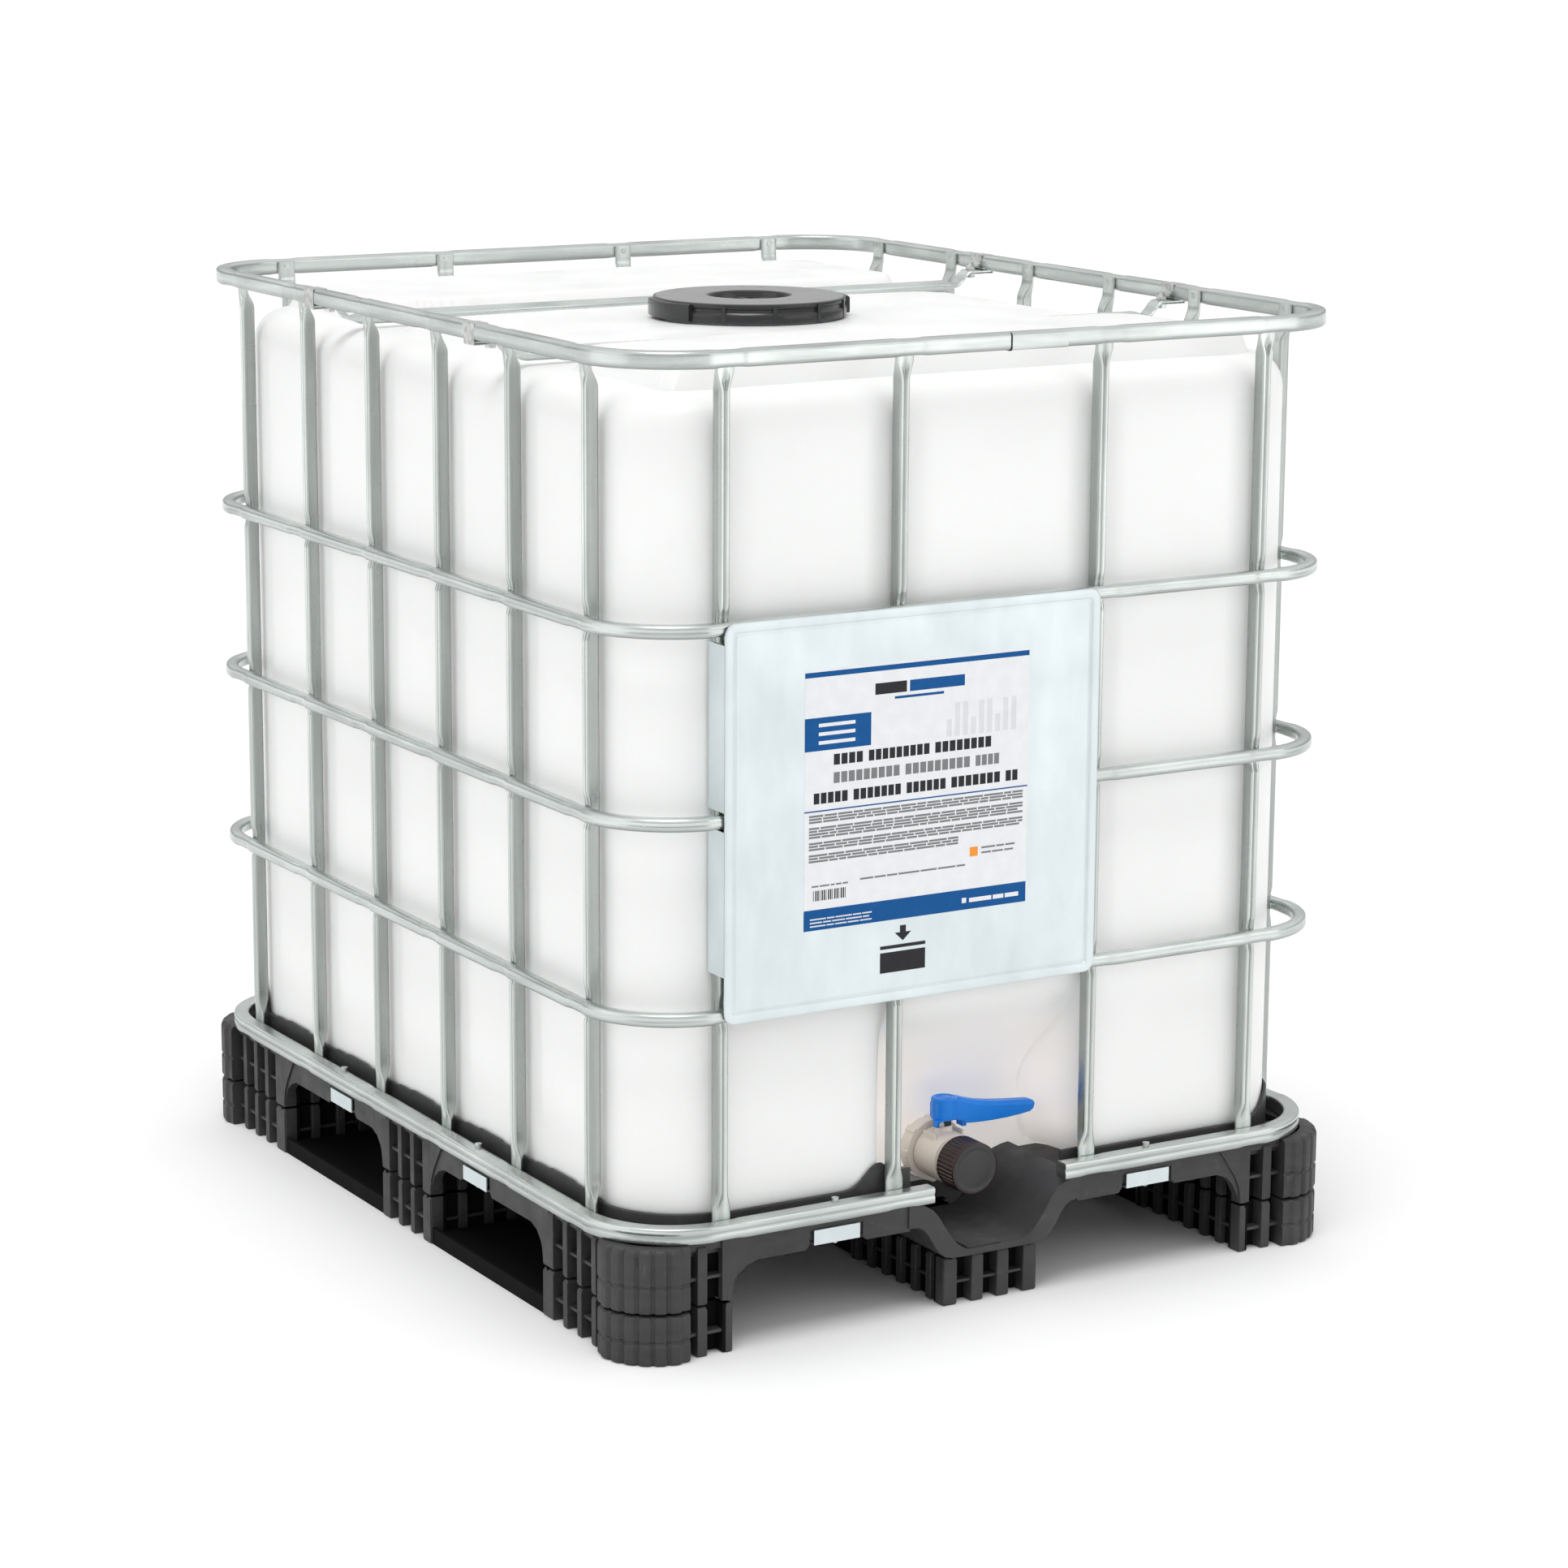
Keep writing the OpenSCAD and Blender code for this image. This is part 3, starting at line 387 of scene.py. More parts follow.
def printed(name, colour):
    """Ink on the label film."""
    paint = Paint(name, colour, 0.42, Specular_IOR_Level=0.15)
    wear = paint.noise(60, 4)
    lifted = tuple(min(1, c * 1.05 + 0.003) for c in colour)
    paint.to("Base Color", paint.mixed(paint.between(wear, 0.4, 0.7), colour, lifted))
    paint.to("Roughness", paint.between(wear, 0.3, 0.7, 0.36, 0.5))
    paint.bump((paint.noise(500, 2), 0.06, 0.05))
    return paint.material


PALLET = pallet_plastic()
# Painted shade: near-black plastic put on the backs of the walls, the cores and the runners, where shade
# falls in the hollows.
PALLET_PAINTED_SHADE = moulded("pallet plastic painted shaded in the hollows", (0.006, 0.006, 0.006), 0.8, gloss=0.1)
TUBE_UPRIGHT = galvanised("galvanised upright tube", (0.64, 0.68, 0.655), (3, 3, 0.15), 0.27)
TUBE_LEVEL = galvanised("galvanised ring tube", (0.62, 0.665, 0.645), (0.3, 0.3, 3), 0.27)
SHEET = galvanised("galvanised sheet", (0.70, 0.765, 0.78), (1.2, 1, 0.5), 0.48, 0.22)
STEEL = fastener_steel()
BOTTLE = bottle_plastic()
BLACK = moulded("black plastic", (0.032, 0.032, 0.034), 0.42)
LID_BLACK = moulded("polished black plastic", (0.028, 0.028, 0.030), 0.2, 0.04)
# Painted sheen: the lid's flat top is painted mid grey in place of the sky's reflection on black
# plastic.
LID_TOP_PAINTED_SHEEN = moulded("black plastic with painted sheen", (0.29, 0.29, 0.295), 0.3, 0.06)
CAP_SIDE = moulded("brown cap plastic", (0.028, 0.011, 0.009), 0.33)
CREAM = moulded("cream plastic", (0.90, 0.83, 0.75), 0.42, tint=0.94)
BLUE = moulded("blue plastic", (0.006, 0.25, 0.92), 0.32, tint=0.92, gloss=0.35)
RUBBER = moulded("seal rubber", (0.045, 0.045, 0.045), 0.7, 0.3)
FILM = printed("label film", (0.76, 0.77, 0.79))
INK_BLUE = printed("blue ink", (0.001, 0.080, 0.270))
# Dark ink for the print; the same material paints the shadow in the top ring's joint.
DARK_INK_AND_JOINT_SHADE = printed("dark ink and painted joint shade", (0.022, 0.022, 0.026))
INK_GREY = printed("grey ink", (0.20, 0.20, 0.21))
INK_PALE = printed("pale ink", (0.66, 0.67, 0.69))
INK_ORANGE = printed("orange ink", (0.85, 0.30, 0.04))


# ---------- pallet ----------

DECK_LOW, SEAM, SKID_TOP = 104, 62, 59
SIDE_END_RIBS = [(367, 394), (417, 429), (452, 464), (487, 499), (521, 531)]
SIDE_MID_RIBS = [(-68, -46.5), (-23.5, -11.5), (11.5, 23.5), (46.5, 68)]
FRONT_END_RIBS = [(358, 368), (391, 405), (425, 431)]
FRONT_MID_RIBS = [(-66, -46), (-27, -9), (9, 27), (46, 66)]
INNER_END_RIBS = [(372, 384), (405, 417), (438, 450), (471, 483), (504, 516), (537, 549), (569, 587)]
SHORT_END_RIBS = INNER_END_RIBS[:-1] + [(565, 577)]
POCKET_END_RIBS = [(358, 380), (400, 412), (436, 448), (470, 487)]
LOWER_TIER, UPPER_TIER = (0, SKID_TOP, 25), (SEAM, 131, 91)
CLIP_US = {"front": 219, "side": 190}


def pallet_face():
    """Distances of the pallet's straight faces from the middle, across and along."""
    _, high = cad_box("cage_clips")
    return high.x + 0.5, high.y + 0.5


def facing(turn, distance):
    """From a face's own frame (along it, inwards, up) to the pallet's frame."""
    return Matrix.Rotation(math.radians(turn), 4, "Z") @ Matrix.Translation((0, -distance, 0))


def ribbed_wall(shape, ribs, tier, place, deep=17, wall=5):
    """Wall set back behind upright ribs, with a thin level rib between them."""
    start = len(shape.verts)
    z0, z1, level = tier
    u0, u1 = ribs[0][0], ribs[-1][1]
    # Painted shade: the wall behind the ribs gets the near-black hollow material.
    shape.block((u0, deep, z0 + 1), (u1, deep + wall, z1), tint=1)
    shape.block((u0 + 1, 3.5, level), (u1 - 1, deep + 1, level + 4))
    for a, b in ribs:
        shape.loft([
            [(a + 1.6, 1.2, z0), (b - 1.6, 1.2, z0), (b, deep + 1, z0), (a, deep + 1, z0)],
            [(a + 0.6, 0, z0 + 3), (b - 0.6, 0, z0 + 3), (b, deep + 1, z0 + 3), (a, deep + 1, z0 + 3)],
            [(a + 0.6, 0, z1 - 4), (b - 0.6, 0, z1 - 4), (b, deep + 1, z1 - 4), (a, deep + 1, z1 - 4)],
            [(a + 1.6, 2.2, z1), (b - 1.6, 2.2, z1), (b, deep + 1, z1), (a, deep + 1, z1)],
        ])
    shape.move(place, start)


def mirrored(ribs):
    return [(-b, -a) for a, b in reversed(ribs)]


def corner_block(shape, sx, sy, levels):
    """Fluted quarter column at a corner of the pallet. levels are (height, how far it is set back)."""
    radius, flutes = 72, 6
    cx, cy = 500 - radius, 600 - radius
    rings = []
    for z, back in levels:
        ring = [(sx * (cx - 8), sy * (cy - 8), z)]
        for i in range(-4, flutes * 12 + 5):
            share = min(max(i / 12, 0), flutes)
            phase = abs(share - round(share))
            r = radius - back - 3.4 * (1 - smooth(0.02, 0.24, phase))
            a = math.pi / 2 * share / flutes
            slide = 2.5 * max(-i, i - flutes * 12, 0)
            x = cx + r * math.cos(a) - (slide if i > 0 else 0)
            y = cy + r * math.sin(a) - (slide if i <= 0 else 0)
            ring.append((sx * x, sy * y, z))
        rings.append(ring)
    shape.loft(rings)


def corner_blocks(shape, columns, rows, levels):
    for sx in columns:
        for sy in rows:
            corner_block(shape, sx, sy, levels)


def foot_depths(row):
    """From where to where a foot reaches along the pallet. row is -1, 0 or 1."""
    _, face_y = pallet_face()
    return (-68, 68) if row == 0 else sorted((row * 367, row * (face_y - 30)))


def set_ribs(shape, ribs, swapped, tier, place, deep=17):
    """One ribbed wall, with its ribs in the opposite order if swapped is true."""
    ribbed_wall(shape, mirrored(ribs) if swapped else ribs, tier, place, deep)


def centre_foot_sides(shape, row, tier):
    """Core and long faces of a foot in the middle column."""
    y0, y1 = foot_depths(row)
    z0, z1, _ = tier
    # Painted shade: the core gets the near-black hollow material.
    shape.block((-58, y0 + 6, z0 + 1), (58, y1 - 6, z1), tint=1)
    end_ribs = SHORT_END_RIBS if row < 0 else INNER_END_RIBS
    for turn in (90, -90):
        ribs = end_ribs if row else SIDE_MID_RIBS
        set_ribs(shape, ribs, row == (1 if turn == -90 else -1), tier, facing(turn, 66), 8)


def outer_foot_sides(shape, side, row, tier):
    """Core and long faces of a foot under the left or the right edge."""
    face_x, _ = pallet_face()
    y0, y1 = foot_depths(row)
    z0, z1, _ = tier
    x0, x1 = sorted((side * 366, side * (face_x - 18)))
    # Painted shade: the core gets the near-black hollow material.
    shape.block((x0, y0 + 6, z0 + 1), (x1, y1 - 6, z1), tint=1)
    outward = 90 * side
    swapped = row == -side
    set_ribs(shape, SIDE_END_RIBS if row else SIDE_MID_RIBS, swapped, tier, facing(outward, face_x))
    inner_ribs = INNER_END_RIBS if row else SIDE_MID_RIBS
    set_ribs(shape, inner_ribs, row and not swapped, tier, facing(-outward, -358), 8)


def feet_faces(shape, side, tier, rows=(-1, 0, 1)):
    """Ribbed faces and cores of one column of feet. side is -1, 0 or 1."""
    _, face_y = pallet_face()
    end_ribs = POCKET_END_RIBS if side else FRONT_MID_RIBS
    for row in rows:
        if side:
            outer_foot_sides(shape, side, row, tier)
        else:
            centre_foot_sides(shape, row, tier)
        if row:
            set_back = 10 if side == 0 and row < 0 else 0
            turn = 0 if row < 0 else 180
            face_ribs = FRONT_END_RIBS if side else FRONT_MID_RIBS
            set_ribs(shape, face_ribs, side * row > 0, tier, facing(turn, face_y - set_back))
            set_ribs(shape, end_ribs, side * row < 0, tier, facing(180 - turn, -367), 7)
        else:
            for turn, sign in ((0, 1), (180, -1)):
                set_ribs(shape, end_ribs, side * sign < 0, tier, facing(turn, 68), 7)


def grooved(low, high, groove):
    """Levels of a corner block: rounded ends and a level groove that starts at a height."""
    return low + [(groove, 0), (groove + 1, 1.5), (groove + 4, 1.5), (groove + 5, 0)] + high


LOWER_BLOCK = grooved([(0, 4), (1.5, 1.4), (4, 0)], [(54, 0), (57, 1), (59, 4)], 24.5)
UPPER_BLOCK = grooved([(61.5, 3), (63, 1), (66, 0)], [(130, 0), (134, 1), (137, 4)], 90)


def skids():
    """The lower mouldings: three ribbed feet on a runner."""
    face_x, _ = pallet_face()
    for node, side in (("skid_left", -1), ("skid_centre", 0), ("skid_right", 1)):
        shape = Shape()
        feet_faces(shape, side, LOWER_TIER)
        if side:
            corner_blocks(shape, (side,), (-1, 1), LOWER_BLOCK)
        xs = (-58, 58) if side == 0 else sorted((side * 362, side * (face_x - 3)))
        for s in (-1, 1):
            ys = sorted((s * 60, s * 376))
            # Painted shade: the runner and its side bars get the near-black hollow material, which hides
            # them in the shade under the pallet.
            shape.block((xs[0], ys[0], 4), (xs[1], ys[1], 14), tint=1)
            for x in (xs[0] - 0.6, xs[1] - 4.4):
                shape.block((x, ys[0], 0), (x + 5, ys[1], 21), tint=1)
        shape.build(node + "_moulding", [PALLET, PALLET_PAINTED_SHADE], "pallet_plastic", nodes=[node], bevel=1.5)


def deck_feet():
    """Upper halves of the feet."""
    shape = Shape()
    for side in (-1, 0, 1):
        feet_faces(shape, side, UPPER_TIER, (-1, 0, 1) if side else (0, 1))
    corner_blocks(shape, (-1, 1), (-1, 1), UPPER_BLOCK)
    shape.build("deck_feet_moulding", [PALLET, PALLET_PAINTED_SHADE], "pallet_plastic", nodes=["deck_feet"],
                bevel=1.5)


def arch(start, end):
    """Lower edge of an edge beam between two feet: it curves down into both."""
    return [(start, SEAM), (start + 3, 76), (start + 9, 89), (start + 21, 99), (start + 36, DECK_LOW),
            (end - 36, DECK_LOW), (end - 21, 98), (end - 12, 88), (end - 4, 72), (end, SEAM)]


def gusset(end, sign):
    """Outline of the web between a foot and a beam. sign is 1 at the beam's start, -1 at its end."""
    web = [(-12, 136.2), (-12, SEAM + 1), (0.4, SEAM + 1), (4, 84), (10, 98), (27, 124), (36, 136.2)]
    return [(end + sign * u, z) for u, z in web]


def beam(shape, start, end, clip_u, place, feet=(True, True)):
    """Edge beam between two feet, cut away round the clip. The feet's faces stand in front of it."""
    first = len(shape.verts)
    top = 136.8
    clip_start, clip_end = clip_u - 36, clip_u + 36
    low = arch(start, end)
    if not feet[0]:
        low = [(start, DECK_LOW)] + low[5:]
    if not feet[1]:
        low = low[:5] + [(end, DECK_LOW)]
    left = [p for p in low if p[0] < clip_start]
    right = [p for p in low if p[0] > clip_end]
    left += [(clip_start - 5, DECK_LOW), (clip_start, DECK_LOW + 6), (clip_start, top)]
    right = [(clip_end, top), (clip_end, DECK_LOW + 6), (clip_end + 5, DECK_LOW)] + right
    shape.prism([(start, top)] + left, 2.6, 15)
    shape.prism(right + [(end, top)], 2.6, 15)
    for z0, z1, y0, y1 in ((114, 136, 5, 14.6), (129, 136.4, 2.2, 14.2)):
        x0, x1 = clip_start - 2, clip_end + 2
        shape.prism([(x0, z1), (x0, z0), (x1, z0), (x1, z1)], y0, y1)
    for has_foot, foot_u, sign in ((feet[0], start, 1), (feet[1], end, -1)):
        if has_foot:
            shape.prism(gusset(foot_u, sign), 0.2, 10)
    shape.move(place, first)


def front_channel(shape, face_y):
    """The drain channel: S-shaped sides, a floor that steps down to one side and a lip in front."""
    side = [(121, 137), (110, 135.5), (98, 132), (88, 126), (80, 117), (72, 104), (63, 91), (54, 80),
            (46, 73), (38, 70)]
    under = [(121, 108), (108, 107), (100, 103), (93, 94), (86, 82), (79, 72), (70, 65), (60, 62.5),
             (46, 62), (38, 62)]
    top, low = ([(-x, z) for x, z in half] + half[::-1] for half in (side, under))
    shape.prism(top + low[::-1], -face_y, -430)
    step = [(-38, -face_y + 3), (10, -face_y + 3), (-8, -431), (-38, -431)]
    shape.loft([[(x, y, z) for x, y in step] for z in (69.5, 72.6)])
    shape.block((-3, -face_y + 4, 69.5), (0, -432, 71.2))


def tray_wall_top(spot, out):
    """Height of the upstand's edge: steps along the sides, two corner peaks and a horn in front."""
    if abs(out.x) > 0.99:
        near = min(abs(spot.y - y) for y in SIDE_YS)
        return 166 + 2 * smooth(24, 30, near) + 2 * smooth(60, 66, near)
    if out.y > 0.99:
        near = min(abs(spot.x - x) for x in END_XS)
        return 161 + 4 * smooth(24, 30, near)
    if out.y < -0.99:
        horn = 27 * smooth(204, 150, -spot.x) ** 2 - 12 * smooth(145, 133, -spot.x)
        return 160 + (horn if spot.x < 0 else 4 * smooth(150, 145, spot.x))
    turn = math.degrees(math.atan2(out.y, out.x))
    peaks = ((-28, 24), (146, 42))
    return 162 + max(rise * (1 - smooth(10, 42, abs(turn - centre))) for centre, rise in peaks)


def deck_plate(shape, face_x, face_y):
    """Floor of the tray, left out over the drain channel."""
    for side in (-1, 1):
        x0, x1 = sorted((side * 112, side * (face_x - 10)))
        shape.block((x0, -face_y + 10, 119), (x1, -400, 128))
    shape.block((-face_x + 10, -428, 119), (face_x - 10, face_y - 10, 128))


def edge_beams(shape, face_x, face_y):
    side_clip, front_clip = CLIP_US["side"], CLIP_US["front"]
    for turn in (90, -90):
        for a, b, clip in ((67, 369, side_clip), (-369, -67, -side_clip)):
            beam(shape, a, b, clip, facing(turn, face_x))
    for a, b, clip in ((118, 360, front_clip), (-360, -118, -front_clip)):
        for turn in (0, 180):
            beam(shape, a, b, clip, facing(turn, face_y), (a < 0, a > 0))
    shape.prism([(-120, 136.6), (-120, 104), (120, 104), (120, 136.6)], face_y - 15, face_y - 2.6)


def deck_rim(shape, face_x, face_y):
    """Raised strip round the deck, open at the channel."""
    profile = ((5.8, 126), (5.8, 136), (5, 137), (-9, 137), (-10, 136), (-10, 126))
    path = round_path(face_x - 9, face_y - 9, 62, 120, 14)
    shape.loft([[(s.x + out.x * d, s.y + out.y * d, z) for d, z in profile] for s, out in path])


def deck_ribs(shape, face_x, face_y):
    """Grid of stiffening ribs under the deck."""
    for x in range(-420, 421, 60):
        shape.block((x - 2, -400, 110), (x + 2, face_y - 12, 120))
    for y in range(-360, 541, 60):
        shape.block((-face_x + 12, y - 2, 110), (face_x - 12, y + 2, 120))


def upstand(shape):
    """Thin wall round the tray that holds the bottle's foot."""
    wall = []
    for spot, out in round_path(463.6, 563.6, 108.6, 106, 5):
        top = tray_wall_top(spot, out)
        profile = ((2, 126), (2.2, 140), (1.8, top - 1.5), (0.8, top), (-0.8, top), (-1.9, top - 1.5),
                   (-2, 126))
        wall.append([(spot.x + out.x * d, spot.y + out.y * d, z) for d, z in profile])
    shape.loft(wall)


def deck():
    """The upper moulding: edge beams, tray with its upstand, and the drain channel."""
    face_x, face_y = pallet_face()
    shape = Shape()
    deck_plate(shape, face_x, face_y)
    edge_beams(shape, face_x, face_y)
    front_channel(shape, face_y)
    deck_rim(shape, face_x, face_y)
    deck_ribs(shape, face_x, face_y)
    upstand(shape)
    shape.build("pallet_deck_moulding", [PALLET], "pallet_plastic", nodes=["pallet_deck"], bevel=1.4)


# ---------- cage ----------

LEVEL_RINGS = ("lower_ring", "middle_ring", "upper_ring")


def pinch(distance, reach=10, fade=12):
    """1 at a weld, falling to 0 beside it."""
    return 1 - smooth(reach, reach + fade, distance)


def weld_distance(spot, normal):
    """Distance along a ring from the nearest vertical."""
    if abs(normal.y) > 0.99:
        return min(abs(spot.x - x) for x in END_XS)
    if abs(normal.x) > 0.99:
        return min(abs(spot.y - y) for y in SIDE_YS)
    return 1000


def ring_piece(node, width, corner, press, gap=0, groove=0, notched=False):
    """Bent tube, dented where the verticals are welded to it, with its shades, middle and half sizes.
    A notched one has room for the crossbars' straps."""
    low, high = cad_box(node)
    height = high.z - low.z
    outline = section(width, height, corner, flat=7)
    half_x, half_y = high.x - width / 2, high.y - width / 2
    middle = (low.z + high.z) / 2
    rings, shades = [], []
    for spot, out in round_path(half_x, half_y, RING_CORNER, gap, 3 if notched else 6):
        dent = pinch(weld_distance(spot, out))
        from_bar = min(abs(spot.y - y) for y in BAR_YS)
        strapped = notched and abs(out.x) > 0.99 and from_bar < 13.6
        ring = []
        for p in outline:
            u = p.x - (press * dent * smooth(0, width / 2, p.x) if p.x > 0 else 0)
            u -= groove * (1 - smooth(0.4, 3.2, abs(p.y - 1))) * (p.x > 0)
            v = p.y * (1 - 0.08 * dent)
            if strapped:
                u, v = min(u, width / 2 - 2.6), min(v, height / 2 - 1.5)
            ring.append((spot.x + u * out.x, spot.y + u * out.y, middle + v))
            # Painted shade: the underside and the groove line of each ring are marked darker in its
            # shades.
            under = smooth(0.1, 0.9, -p.y / height * 2)
            line = 1 - smooth(0.6, 2.6, abs(p.y - 1)) if p.x > 0 and groove > 1 else 0
            shades.append(min(1, 0.6 * under + 0.5 * line))
        rings.append(ring)
    shape = Shape()
    shape.loft(rings, closed=not gap)
    return shape, shades, middle, half_x, half_y


def rings():
    for node in LEVEL_RINGS:
        shape, shades, *_ = ring_piece(node, 16, 5, 2.2, groove=0.35)
        piece = shape.build(node + "_tube", [TUBE_LEVEL], "galvanised_tube", nodes=[node])
        shade_points(piece, shades)


def ring_joint(shape, x, length, y, z, swell=1.0, tint=0):
    """Sleeve over the front of the top ring from x on, swollen by a factor."""
    outline = section(18.6, 20.4, 4, flat=1)
    shape.loft([[(end, y - p.x * swell, z + p.y * swell) for p in outline] for end in (x, x + length)],
               tint=tint)


def top_ring():
    """The top ring, with its joint sleeve at the front and the weld buttons on its inner face."""
    shape, shades, middle, half_x, half_y = ring_piece("top_ring", 18, 4, 1.0, notched=True)
    joint_x = -6
    ring_joint(shape, joint_x, 78, -half_y + 0.1, middle - 0.5)
    # Painted shade: a thin, slightly swollen band in the dark ink material stands in for the shadow in
    # the joint's gap.
    ring_joint(shape, joint_x, 1.6, -half_y, middle - 0.6, 1.03, tint=1)
    for x in END_XS:
        for side in (-1, 1):
            weld_button(shape, Vector((x, side * (half_y - 9), middle)), Vector((0, -side, 0)))
    for y in SIDE_YS:
        for side in (-1, 1):
            weld_button(shape, Vector((side * (half_x - 9), y, middle)), Vector((-side, 0, 0)))
    piece = shape.build("top_ring_tube", [TUBE_LEVEL, DARK_INK_AND_JOINT_SHADE], "galvanised_tube", nodes=["top_ring"])
    shade_points(piece, shades)


def weld_button(shape, centre, out, radius=4.2):
    """Shallow round weld mark facing a direction."""
    up = Vector((0, 0, 1))
    across = up.cross(out)
    turns = [math.tau * i / 14 for i in range(14)]
    shape.loft([[centre + out * lift + radius * share * (across * math.cos(a) + up * math.sin(a))
                 for a in turns] for share, lift in ((1.0, -0.5), (1.0, 4.1), (0.75, 4.6), (0.3, 4.3))])


def bottom_ring():
    """The bottom ring, open over the valve, with capped ends."""
    shape, shades, *_ = ring_piece("bottom_ring", 20, 3, 0.8, gap=92, groove=1.3)
    piece = shape.build("bottom_ring_tube", [TUBE_LEVEL], "galvanised_tube", nodes=["bottom_ring"])
    shade_points(piece, shades)


def vertical_stations(low_tab, tube_low, tube_high, top_tab, crossings):
    """Heights along a vertical, closer together near the ends and the rings."""
    heights = {low_tab, tube_low - 6, top_tab, tube_high + 4}
    z = tube_low
    while z < tube_high:
        near = min([abs(z - c) for c in crossings] + [z - tube_low, tube_high - z])
        heights.add(round(z, 2))
        z += 4 if near < 32 else 16
    heights.add(tube_high)
    return sorted(heights)


def vertical_tube(shape, origin, out, crossings):
    """One upright: square tube, pressed flat at both ends and dented where the rings cross it."""
    along = Vector((-out.y, out.x))
    shades = []
    low_tab, tube_low, tube_high, top_tab = 149, 168, 1124, 1147
    rings = []
    for z in vertical_stations(low_tab, tube_low, tube_high, top_tab, crossings):
        flat = max(1 - smooth(tube_low - 4, tube_low + 22, z), smooth(tube_high - 22, tube_high + 2, z))
        dent = max(pinch(abs(z - c), 11, 13) for c in crossings)
        deep = 16 - 12 * flat
        wide = 16 + 8 * flat + 0.8 * dent
        push = (2 if z < 600 else 5) * flat
        fold = 2.2 * math.sin(math.pi * flat)
        ring = []
        for p in section(deep, wide, 3.2 - 1.4 * flat, flat=6):
            taper = 1 - 0.16 * (1 - flat) * smooth(-deep / 2, deep / 2, p.x)
            u = p.x + push
            if p.x > 0:
                u -= 2.6 * dent + 1.5 * (1 - flat) * (1 - smooth(0.5, 3.0, abs(p.y)))
            u -= fold * smooth(wide * 0.3, 0, abs(p.y)) * (1 if p.x > 0 else 0)
            spot = origin + out * u + along * p.y * taper
            ring.append((spot.x, spot.y, z))
            # Painted shade: the tube's flanks and the groove down its outer face are marked darker in
            # its shades.
            painted_flank_shade = smooth(0.66, 0.9, abs(p.y) / wide * 2) * (1 - 0.6 * flat)
            line = 0.75 * (1 - smooth(0.5, 2.2, abs(p.y))) * (p.x > 0)
            shades.append(min(1, 0.56 * painted_flank_shade + line))
        rings.append(ring)
    shape.loft(rings)
    return shades


def verticals():
    crossings = [sum(corner.z for corner in cad_box(node)) / 2 for node in LEVEL_RINGS]
    ring_corner = cad_box("lower_ring")[1]
    post_x, post_y = ring_corner.x - 24, ring_corner.y - 24
    sides = {
        "verticals_front": [(Vector((x, -post_y)), Vector((0, -1))) for x in END_XS],
        "verticals_back": [(Vector((x, post_y)), Vector((0, 1))) for x in END_XS],
        "verticals_left": [(Vector((-post_x, y)), Vector((-1, 0))) for y in SIDE_YS],
        "verticals_right": [(Vector((post_x, y)), Vector((1, 0))) for y in SIDE_YS],
    }
    for node, places in sides.items():
        shape = Shape()
        shades = []
        for origin, out in places:
            shades += vertical_tube(shape, origin, out, crossings)
        for origin, out in places:
            for z in crossings:
                for aside in (-4, 4):
                    spot = origin + out * 3.6 + Vector((-out.y, out.x)) * aside
                    weld_button(shape, Vector((*spot, z)), Vector((*out, 0)), 2.4)
        piece = shape.build(node + "_tubes", [TUBE_UPRIGHT], "galvanised_tube", nodes=[node])
        shade_points(piece, shades)


def crossbars():
    """Round bars whose flattened ends rise to the top ring."""
    for node, y in zip(("crossbar_front", "crossbar_rear"), BAR_YS):
        shape = Shape()
        rings = []
        for share in range(-60, 61):
            x = math.copysign(497 * (1 - (1 - abs(share) / 60) ** 1.6), share)
            flat = smooth(425, 446, abs(x))
            z = 1110 + 18 * smooth(444, 466, abs(x))
            outline = section(16 + 8 * flat, 16 - 12 * flat, (8 - 6.4 * flat) * 0.995, arc=4, flat=1)
            rings.append([(x, y + p.x, z + p.y) for p in outline])
        shape.loft(rings)
        shape.build(node + "_rod", [TUBE_LEVEL], "galvanised_tube", nodes=[node])


# ---------- label plate ----------


def plate_loop(low, high, inset, radius, y):
    """Rounded rectangle in X and Z at a depth."""
    cx, cz = (low.x + high.x) / 2, (low.z + high.z) / 2
    half_x, half_z = (high.x - low.x) / 2 - inset, (high.z - low.z) / 2 - inset
    loop = []
    for sx, sz, start in ((1, 1, 0), (-1, 1, 90), (-1, -1, 180), (1, -1, 270)):
        for i in range(9):
            a = math.radians(start + 90 * i / 8)
            loop.append((cx + sx * (half_x - radius) + radius * math.cos(a), y,
                         cz + sz * (half_z - radius) + radius * math.sin(a)))
    return loop


